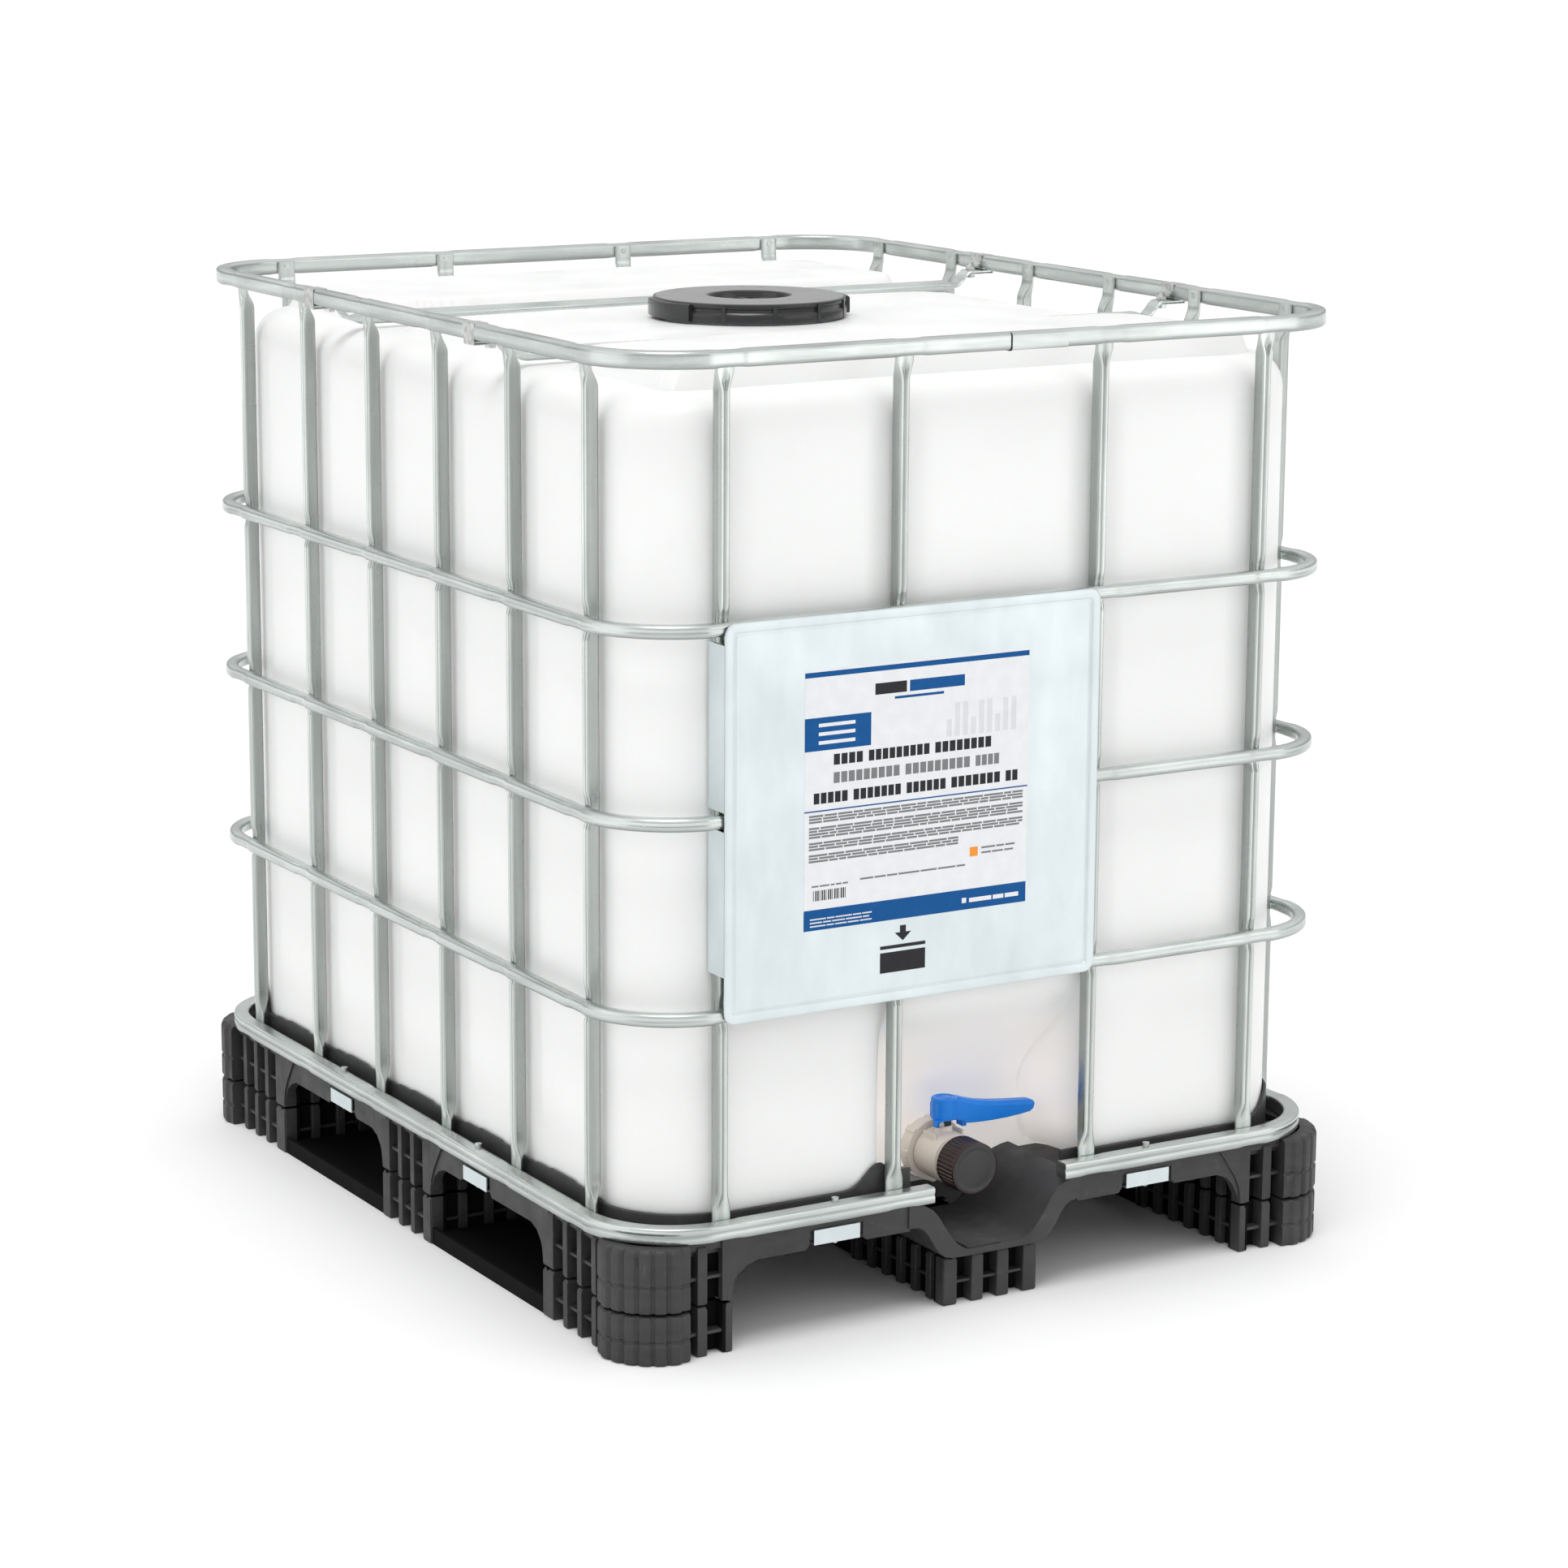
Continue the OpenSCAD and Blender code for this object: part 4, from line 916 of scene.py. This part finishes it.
def label_plate():
    """Sheet with a raised rim, a side flange and the pictogram."""
    low, high = cad_box("label_plate")
    back = cad_box("lower_ring")[0].y
    shape = Shape()
    profile = [(0, 0), (0, 1.2), (0.8, 1.8), (2.2, 2.0), (9.4, 2.0), (10.6, 1.5), (11.4, 0.2),
               (13.2, 0.15), (14.4, 0.9), (16, 1.0)]
    loops = [plate_loop(low, high, 2, 12, back)]
    loops += [plate_loop(low, high, inset, max(14 - inset, 4), back - rise) for inset, rise in profile]
    shape.loft(loops)
    top, bottom = high.z - 24, low.z + 55
    for z0, z1 in ((bottom, 613), (635, top)):
        shape.prism([(low.x, z0), (low.x + 1, z0), (low.x + 1, z1), (low.x, z1)], back - 0.5, back + 36)
    shape.block((low.x - 0.2, back + 34.5, bottom + 4), (low.x + 5, back + 36, 610))
    shape.block((low.x - 0.2, back + 34.5, 638), (low.x + 5, back + 36, top - 4))
    face = back - 1.0
    left, right = low.x + 205, low.x + 266
    for z0, z1 in ((425, 449), (453, 457)):
        shape.block((left, face - 0.15, z0), (right, face + 0.3, z1), tint=1)
    mid = (left + right) / 2
    arrow = ((-4, 479), (-4, 471), (-11, 471), (0, 461), (11, 471), (4, 471), (4, 479))
    shape.prism([(mid + u, z) for u, z in arrow], face - 0.15, face + 0.3, tint=1)
    shape.build("label_sheet", [SHEET, DARK_INK_AND_JOINT_SHADE], "galvanised_sheet", nodes=["label_plate"])


def word_row(seed, left, right, low, high, gap=3.5, longest=40):
    """Bars of word-like lengths between two limits."""
    rng = random.Random(seed)
    bars, x = [], left
    while x < right - 6:
        end = min(right, x + rng.uniform(0.35, 1) * longest)
        bars.append((x, end, low, high))
        x = end + gap
    return bars


def sticker():
    """Film with a generic print of bars and blocks."""
    low, high = cad_box("label_sticker")
    front, back = low.y, high.y
    shape = Shape()
    shape.block((low.x, front + 0.04, low.z), (high.x, back + 0.2, high.z))

    def bar(x0, x1, z0, z1, tint, layer=0):
        shape.block((low.x + x0, front - 0.08 * layer, low.z + z0), (low.x + x1, back, low.z + z1), tint)

    def text(tint, *row, layer=0):
        for x0, x1, z0, z1 in word_row(*row):
            bar(x0, x1, z0, z1, tint, layer)

    for i in range(9):
        bar(188 + 11 * i, 195 + 11 * i, 206, 226 + 22 * abs(math.sin(2.1 * i)), 4)
    bar(0, 300, 291, 297, 1)
    bar(92, 134, 264, 277, 2)
    bar(138, 212, 264, 277, 1)
    bar(118, 184, 257, 260, 1)
    bar(0, 87, 207, 245, 1)
    for z in (214, 224, 234):
        bar(18, 66, z, z + 4, 0, 1)
    for seed, left, right, z, tint in ((1, 38, 262, 189, 2), (2, 38, 262, 168, 3), (3, 12, 288, 146, 2)):
        for x0, x1, z0, z1 in word_row(seed, left, right, z, z + 12.5, 6, 92):
            count = max(1, round((x1 - x0) / 9.5))
            for i in range(count):
                start = x0 + i * (x1 - x0) / count
                bar(start, start + 0.8 * (x1 - x0) / count, z0, z1, tint)
    bar(0, 300, 137, 138.6, 1)
    small_print = (131, 127.6, 124.2, 117, 113.6, 110.2, 106.8, 99.6, 96.2, 92.8, 85.6, 82.2, 78.8)
    for seed, z in enumerate(small_print):
        text(3, 10 + seed, 6, 294 if z > 88 else 206, z, z + 2.4, 1.6, 26)
    bar(222, 233, 62, 73, 5)
    for z in (70, 64):
        text(3, z, 238, 288, z, z + 2.2, 1.6, 20)
    for i in range(16):
        bar(12 + 2.8 * i, 12 + 2.8 * i + (1.8 if i % 3 else 0.9), 34, 46, 2)
    text(3, 40, 10, 58, 50, 52, 1.6, 14)
    text(3, 41, 74, 216, 52, 54.2, 1.6, 30)
    bar(0, 300, 0, 24, 1)
    bar(212, 218, 8, 14, 0, 1)
    text(0, 42, 222, 290, 8, 13, 2, 40, layer=1)
    for z in (4, 8, 12):
        text(4, 50 + z, 8, 90, z, z + 1.6, 1.4, 22, layer=1)
    shape.build("label_print", [FILM, INK_BLUE, DARK_INK_AND_JOINT_SHADE, INK_GREY, INK_PALE, INK_ORANGE], "label_film",
                nodes=["label_sticker"])


# ---------- bottle ----------

BOTTLE_LOW, BOTTLE_HIGH = Vector((-460, -560, 128)), Vector((460, 560, 1096))
BOTTLE_EDGE = 40
BOTTLE_CORNER = 105


def side_marks(reach, fine, pitch=9):
    """Positions from -reach to reach, close together beside the fine places."""
    marks = [-reach]
    while marks[-1] < reach:
        near = min([abs(marks[-1] + pitch / 2 - f) for f in fine] or [1000])
        marks.append(min(reach, marks[-1] + (2.5 if near < 12 else pitch)))
    return marks[:-1]


def bottle_ring(half_x, half_y, radius, front, across, deep):
    """Rounded rectangle whose points are set by shares of its front, back and long sides."""
    ix, iy = half_x - radius, half_y - radius
    ring = [(share * ix, -half_y) for share in front]
    ring += arc_points(ix, -iy, radius, -90)
    ring += [(half_x, share * iy) for share in deep]
    ring += arc_points(ix, iy, radius, 0)
    ring += [(-share * ix, half_y) for share in across]
    ring += arc_points(-ix, iy, radius, 90)
    ring += [(-half_x, -share * iy) for share in deep]
    ring += arc_points(-ix, -iy, radius, 180)
    return ring


def arc_points(cx, cy, radius, start, steps=14):
    turns = [math.radians(start + 90 * i / steps) for i in range(steps)]
    return [(cx + radius * math.cos(a), cy + radius * math.sin(a)) for a in turns]


def pad(x, y, centre_y, half_x, half_y, radius=60):
    """1 on a raised pad of the bottle's top, 0 beside it."""
    dx, dy = abs(x) - half_x + radius, abs(y - centre_y) - half_y + radius
    outside = math.hypot(max(dx, 0), max(dy, 0)) + min(max(dx, dy), 0) - radius
    return 1 - smooth(-15, 1, outside)


def crown(x):
    """How far the top is domed across its width."""
    return max(0, 3 * (1 - (x / BOTTLE_HIGH.x) ** 2))


def top_rise(x, y):
    """Height of the bottle's top above its shoulder."""
    ends = max(pad(x, y, s * 400, 402, 150) for s in (-1, 1))
    return 26 * ends + 13 * pad(x, y, 0, 402, 192) + crown(x)


def swollen(x, y, z, half_x, half_y, corner):
    """A point of the wall, pushed outwards between the verticals. The corners stay as they are."""
    swell = 5.2 * smooth(190, 260, z) * (1 - smooth(1040, 1096, z))
    if abs(x) < half_x - corner + 0.01:
        near = min(abs(x - post) for post in END_XS)
        return x, y + math.copysign(swell * smooth(14, 46, near), y)
    if abs(y) < half_y - corner + 0.01:
        near = min(abs(y - post) for post in SIDE_YS)
        return x + math.copysign(swell * smooth(14, 46, near), x), y
    return x, y


def recess_wall(x, z):
    """Depth of the front recess's wall at a place, or the front face beside it."""
    low = min(max((178 - z) / 50, 0), 1)
    half = RECESS_HALF + 46 * (1 - math.sqrt(1 - low * low))
    opening = 1 - smooth(half - 14, half + 4, abs(x))
    back = -430
    slope = back - 130 * smooth(206, 384, z) if z > 206 else back
    return BOTTLE_LOW.y + (slope - BOTTLE_LOW.y) * opening


def behind_recess(x, y, z):
    """Depth of a point after the recess is pressed in, and how shaded it is."""
    wall = recess_wall(x, z)
    if y >= wall or z >= 400:
        return y, 0.0
    return wall, smooth(0, 60, wall - y) * (1 - smooth(180, 380, z) * 0.75)


def bottle_levels():
    """Heights from the foot's middle to the top's middle, and how far the outline is drawn in."""
    foot, top, reach, edge = BOTTLE_LOW.z, BOTTLE_HIGH.z, BOTTLE_HIGH.x, BOTTLE_EDGE
    turns = [math.radians(90 * i / 8) for i in range(9)]
    levels = [(foot + 0.02 * i, edge + (1 - i / 12) * (reach - edge - 6)) for i in range(1, 13)]
    levels += [(foot + edge - edge * math.cos(a), edge - edge * math.sin(a)) for a in turns[1:]]
    z = foot + edge
    while z < top - edge - 6:
        z += 6 if z < 420 else 10
        levels.append((z, 0))
    levels += [(top - edge + edge * math.sin(a), edge - edge * math.cos(a)) for a in turns]
    levels += [(top, edge + i / 86 * (reach - edge - 4)) for i in range(1, 86)]
    return levels


def bottle_outline(inset, marks):
    """Ring of the bottle drawn in by an inset, with the half sizes and corner radius it has there."""
    half_x, half_y = BOTTLE_HIGH.x - inset, BOTTLE_HIGH.y - inset
    corner = max(BOTTLE_CORNER - inset, 1)
    if inset > BOTTLE_EDGE:
        share = half_x / (BOTTLE_HIGH.x - BOTTLE_EDGE)
        half_y = (BOTTLE_HIGH.y - BOTTLE_EDGE) * share
        corner = (BOTTLE_CORNER - BOTTLE_EDGE) * share
    return bottle_ring(half_x, half_y, corner, *marks), (half_x, half_y, corner)


def bottle_openings(shape):
    """Filling neck, outlet stub and the block that stands in the pallet's well."""
    neck = [(118, 1104), (114, 1111), (111, 1114), (110, 1118), (110, 1130), (103.5, 1130), (103, 1104)]
    shape.lathe(neck, 128, closed=True)
    outlet = [(36, 424), (33, 430), (31, 433), (30, 436), (30, 446), (25.2, 446), (25, 424)]
    shape.lathe(outlet, 64, (0, 0, OUTLET_Z), "Y", closed=True)
    shape.loft([[(x, y, z) for x, y in ((-56, -430), (56, -430), (56, -364), (-56, -364))]
                for z in (107, 150)])


def bottle():
    """The blow-moulded bottle, as one skin from the middle of its foot to the middle of its top."""
    straight_x, straight_y = BOTTLE_HIGH.x - BOTTLE_CORNER, BOTTLE_HIGH.y - BOTTLE_CORNER
    fine = [s * (RECESS_HALF + lift) for s in (-1, 1) for lift in (-4, 12, 28, 44)]
    marks = [[m / reach for m in side_marks(reach, places)]
             for reach, places in ((straight_x, fine), (straight_x, ()), (straight_y, ()))]
    shoulder = BOTTLE_HIGH.z - BOTTLE_EDGE
    rings, shades = [], []
    for z, inset in bottle_levels():
        outline, extent = bottle_outline(inset, marks)
        ring = []
        for x, y in outline:
            if inset == 0 or z > shoulder:
                x, y = swollen(x, y, z, *extent)
            y, shade = behind_recess(x, y, z)
            rise = top_rise(x, y) if z >= BOTTLE_HIGH.z - 0.01 else 0
            if z >= shoulder and inset <= BOTTLE_EDGE:
                rise = crown(x) * smooth(shoulder, BOTTLE_HIGH.z, z)
            ring.append((x, y, z + rise))
            # Painted shade: the shade attribute is set in the front recess and rises slightly towards
            # the foot.
            shades.append(max(shade, 0.05 * (1 - smooth(150, 420, z))))
        rings.append(ring)
    shape = Shape()
    shape.loft(rings)
    bottle_openings(shape)
    piece = shape.build("bottle_shell", [BOTTLE], "bottle_hdpe", nodes=["bottle"], crease=60)
    shade_points(piece, shades)


# ---------- lid ----------


def below(top, *points):
    """Profile of (radius, height) points from their radii and depths under a level."""
    return [(radius, top - depth) for radius, depth in points]


def round_blocks(shape, turns, low, high):
    """The same block at several turns round the Z axis, in radians."""
    for turn in turns:
        start = len(shape.verts)
        shape.block(low, high)
        shape.move(Matrix.Rotation(turn, 4, "Z"), start)


def lid_lug(shape, turn, radius, base, top):
    """Grip lug with seven small ribs on the lid's edge."""
    reach = radius + 5
    edge = [(radius - 2, base + 1), (reach - 0.6, base + 1), (reach, base + 2), (reach, top - 5),
            (reach - 1.5, top - 3), (radius - 2, top - 2.4)]
    angles = [turn + math.radians(-24 + 3 * i) for i in range(17)]
    shape.loft([[(r * math.cos(a), r * math.sin(a), z) for r, z in edge] for a in angles])
    round_blocks(shape, [turn + math.radians(-18 + 6 * i) for i in range(7)],
                 (radius + 3.8, -1.1, base + 2), (reach, 1.1, top - 5))


def filling_lid():
    """Screw lid with grip lugs, a flat top painted lighter grey as painted sheen and a deep well for the
    vent plug.
    """
    low, high = cad_box("filling_lid")
    top, base, radius = high.z, low.z, high.y
    well = below(top, (28.2, 21), (47, 21), (49, 12), (50, 3), (51.2, 0.8), (53, 0.1), (58, 0))
    rim = below(top, (radius - 4, 0.6), (radius - 2, 1.4), (radius - 1.2, 3), (radius - 1.4, 6),
                (radius - 3, 8), (radius - 3, 11), (radius - 0.6, 13.4), (radius, 15))
    foot = [(radius, base + 0.6), (radius - 0.6, base), (radius - 2.8, base), (radius - 5, base + 3)]
    inside = below(top, (radius - 5, 14.5), (103.2, 5), (60, 5), (53, 24.4), (28.2, 24.4))
    face = below(top, (54, 0.3), (54, 0), (58, -0.12), (radius - 4.6, 0.5), (radius - 4.6, 0.9))
    shape = Shape()
    shape.lathe(well + rim + foot + inside, 192, closed=True)
    # Painted sheen: the flat top face gets the lighter grey material.
    shape.lathe(face, 192, closed=True, tint=1)
    for turn in (0, math.pi):
        lid_lug(shape, turn, radius, base, top)
    round_blocks(shape, [math.radians(15 + 30 * i) for i in range(12)],
                 (radius - 5, -2.5, base), (radius + 0.6, 2.5, top - 2.4))
    shape.build("filling_lid_body", [LID_BLACK, LID_TOP_PAINTED_SHEEN], "black_plastic", "lid", ["filling_lid"],
                bevel=0.35)


def vent_plug():
    """Plug with a cross grip, drawn a little deeper in the lid's well than its CAD solid."""
    top = cad_box("vent_plug")[1].z - 5
    shape = Shape()
    shape.lathe(below(top, (0.01, 3), (24, 3), (26, 2.2), (31, 2), (32.6, 2.6), (33, 4), (33, 5.4),
                      (27.4, 5.5), (27.4, 14), (26, 14.4), (0.01, 14.4)), 72)
    round_blocks(shape, (0, math.pi / 2), (-26, -2.6, top - 4), (26, 2.6, top - 0.1))
    shape.build("vent_plug_body", [LID_BLACK], "black_plastic", "vent", ["vent_plug"], bevel=0.5)


# ---------- valve ----------


def outlet_cap():
    """Screw cap with deep ribs round its side."""
    low, high = cad_box("outlet_cap")
    face, back = -low.y, -high.y
    radius, ribs = high.x, 37

    def ribbed(turn, height):
        deep = smooth(back + 1, back + 4, height) * (1 - smooth(face - 6, face - 3, height))
        return -1.9 * deep * (0.5 - 0.5 * math.tanh(2.2 * math.cos(ribs * turn)))

    side = Shape()
    profile = [(28.9, back), (radius - 1, back), (radius, back + 1)]
    profile += [(radius, back + 1 + i * (face - back - 4) / 14) for i in range(1, 15)]
    profile += [(radius - 0.5, face - 1.4), (radius - 2.2, face - 0.4), (28.9, face - 0.4)]
    side.lathe(profile, ribs * 10, (0, 0, OUTLET_Z), "Y", ribbed, closed=True)
    side.build("outlet_cap_skirt", [CAP_SIDE], "black_plastic", "cap", ["outlet_cap"])
    disc = Shape()
    disc.lathe(below(face, (0.01, 0.7), (21, 0.7), (22.5, 1.2), (24, 1.2), (25.5, 0.2), (28.4, 0),
                     (29.3, 0.4), (29.4, 3), (0.01, 3)), 96, (0, 0, OUTLET_Z), "Y")
    disc.build("outlet_cap_disc", [BLACK], "black_plastic", "cap")


def lever_section(half, low, high):
    """Section of the lever's arm: flat underside and wide sloping shoulders."""
    slope = min(4.5, (high - low) * 0.35)
    right = [(half - 1, low), (half, low + 1), (half, high - slope), (half * 0.55, high)]
    return [(1 - half, low)] + right + [(-y, z) for y, z in right[:0:-1]]


def valve_lever():
    """Lever with a round hub, a stiffened arm and a lock tab."""
    _, high = cad_box("valve_lever")
    under, top = 187, high.z
    shape = Shape()
    hub = below(top, (0.01, 1.6), (9, 1.6), (10, 0.6), (12, 0), (14.5, 0.4), (16, 2), (16, 26),
                (15, 27), (0.01, 27))
    shape.lathe(hub, 48, (0, STEM_Y, 0))
    arm = [(-15, 8, 197, top - 3), (-11, 11, 195.5, top - 1), (2, 12, 195, top - 0.6),
           (14, 12, 193, top - 1), (22, 11.7, 189, top - 3), (30, 11.2, under, top - 6),
           (45, 10.6, under - 1, top - 10), (64, 10.4, under - 1.6, 208.5),
           (85, 10.4, under - 1.2, 206), (104, 10.4, under, 204), (118, 10.2, under + 1.5, 202.6),
           (123, 9.4, under + 4, 201.6), (high.x, 7.5, under + 8, 200)]
    shape.loft([[(x, STEM_Y + y, z) for y, z in lever_section(half, z0, z1)] for x, half, z0, z1 in arm])
    shape.block((-19, STEM_Y - 14, 188.5), (-8.5, STEM_Y - 5, 197))
    shape.block((-9, STEM_Y - 14, 195), (6, STEM_Y - 5, 197.5))
    shape.block((22, STEM_Y - 7, 183), (28, STEM_Y + 7, 192))
    shape.build("valve_lever_body", [BLUE], "blue_plastic", "lever", ["valve_lever"],
                bevel=1.1, segments=3)


def valve_body():
    """Valve housing with a ribbed middle and the stem's tower."""
    low, high = cad_box("valve_body")
    shape = Shape()
    back, front = -high.y, -low.y
    profile = [(25, back), (29.6, back), (30, back + 0.5), (30, back + 2), (28.6, back + 3),
               (28.6, back + 5), (30.4, back + 6), (31, back + 7)]
    profile += below(front, (31, 39), (30.2, 38), (28.6, 37.6), (28.4, 34))
    for i in range(5):
        pitch = front - 31 + 6 * i
        profile += [(28.4, pitch - 1.6), (28.9, pitch - 0.6), (28.9, pitch + 0.6), (28.4, pitch + 1.6)]
    profile += [(28.2, front - 0.6), (27.6, front), (25.4, front), (25, front - 0.5)]
    shape.lathe(profile, 96, (0, 0, OUTLET_Z), "Y", closed=True)
    tower = [(12.5, 176), (10.6, 180), (10, 184), (10, 186.4), (9.4, 187), (6.5, 187), (6.5, 176)]
    shape.lathe(tower, 48, (0, STEM_Y, 0), closed=True)
    for x in (-20, 20):
        shape.block((x - 1.6, STEM_Y - 12, 160), (x + 1.6, STEM_Y + 12, 180))
    shape.build("valve_housing", [CREAM], "cream_plastic", nodes=["valve_body"], bevel=0.5)


def plain_parts():
    """CAD nodes that are shown as they are, with rounded edges and their finish."""
    dress("cage_clips", SHEET, 0.5)
    dress("crossbar_straps", STEEL, 0.35)
    for node in ("crossbar_bolts", "crossbar_nuts", "clip_screws", "skid_screws"):
        dress(node, STEEL, 0.4)
    dress("lever_screw", STEEL, 0.3)
    dress("valve_nut", CREAM, 0.8)
    dress("valve_disc", CREAM, 0.6)
    dress("valve_stem", BLACK, 0.3)
    for node in ("lid_gasket", "vent_gasket", "flange_gasket", "stem_seal", "disc_seal", "cap_gasket"):
        dress(node, RUBBER)


# ---------- studio ----------


def floor():
    """Pale floor, large enough to fill the view."""
    reach = 60
    corners = [(-reach, -reach, 0), (reach, -reach, 0), (reach, reach, 0), (-reach, reach, 0)]
    mesh = bpy.data.meshes.new("studio_floor")
    mesh.from_pydata(corners, [], [(0, 1, 2, 3)])
    paint = Paint("studio floor", (0.9, 0.9, 0.9), 0.9)
    mesh.materials.append(paint.material)
    plane = bpy.data.objects.new("studio_floor", mesh)
    bpy.context.collection.objects.link(plane)


def sky():
    """World light that darkens towards the horizon and below it."""
    world = bpy.data.worlds.new("studio")
    bpy.context.scene.world = world
    world.use_nodes = True
    nodes, links = world.node_tree.nodes, world.node_tree.links
    place = nodes.new("ShaderNodeTexCoord")
    split = nodes.new("ShaderNodeSeparateXYZ")
    ramp = nodes.new("ShaderNodeValToRGB")
    stops = ramp.color_ramp.elements
    stops[0].position, stops[0].color = 0.0, (0.34, 0.345, 0.345, 1)
    stops[1].position, stops[1].color = 0.42, (1, 1, 1, 1)
    links.new(place.outputs["Generated"], split.inputs["Vector"])
    links.new(split.outputs["Z"], ramp.inputs["Fac"])
    links.new(ramp.outputs["Color"], nodes["Background"].inputs["Color"])
    nodes["Background"].inputs["Strength"].default_value = 0.90


def place_lamp(light, location, aim):
    """Puts a light at a place, shining in a direction."""
    lamp = bpy.data.objects.new(light.name, light)
    lamp.location = location
    lamp.rotation_euler = aim.to_track_quat("-Z", "Y").to_euler()
    bpy.context.collection.objects.link(lamp)


def lights():
    """A soft sun and two large soft boxes, all in metres."""
    sun = bpy.data.lights.new("studio_key", "SUN")
    sun.energy = 1.1
    sun.angle = math.radians(28)
    place_lamp(sun, (0, 0, 0), Vector((0.30, 0.36, -1.5)))
    target = Vector((0, 0, 0.6))
    softboxes = (("studio_right", (3.2, -5.0, 1.6), 44), ("studio_left", (-5.0, 0.4, 1.8), 34))
    for name, spot, power in softboxes:
        box = bpy.data.lights.new(name, "AREA")
        box.size = 4.2
        box.energy = power
        place_lamp(box, spot, target - Vector(spot))


def camera():
    """The view from the front left. Its place is in metres, its lens in millimetres."""
    yaw, pitch, roll = math.radians(30.659), math.radians(-12.281), math.radians(0.317)
    ahead = Vector((math.sin(yaw) * math.cos(pitch), math.cos(yaw) * math.cos(pitch), math.sin(pitch)))
    level = Vector((math.cos(yaw), -math.sin(yaw), 0))
    upright = level.cross(ahead)
    right = math.cos(roll) * level + math.sin(roll) * upright
    up = -math.sin(roll) * level + math.cos(roll) * upright
    data = bpy.data.cameras.new("view")
    data.sensor_width = 36
    data.lens = 99.0
    data.clip_end = 200
    eye = bpy.data.objects.new("view", data)
    turned = Matrix((right, up, -ahead)).transposed().to_4x4()
    eye.matrix_world = Matrix.Translation((-2.7000, -4.6464, 1.6852)) @ turned
    bpy.context.collection.objects.link(eye)
    bpy.context.scene.camera = eye
    bpy.context.scene.view_settings.view_transform = "Standard"


plain_parts()
skids()
deck_feet()
deck()
rings()
top_ring()
bottom_ring()
verticals()
crossbars()
label_plate()
sticker()
bottle()
filling_lid()
vent_plug()
outlet_cap()
valve_lever()
valve_body()
floor()
sky()
lights()
camera()
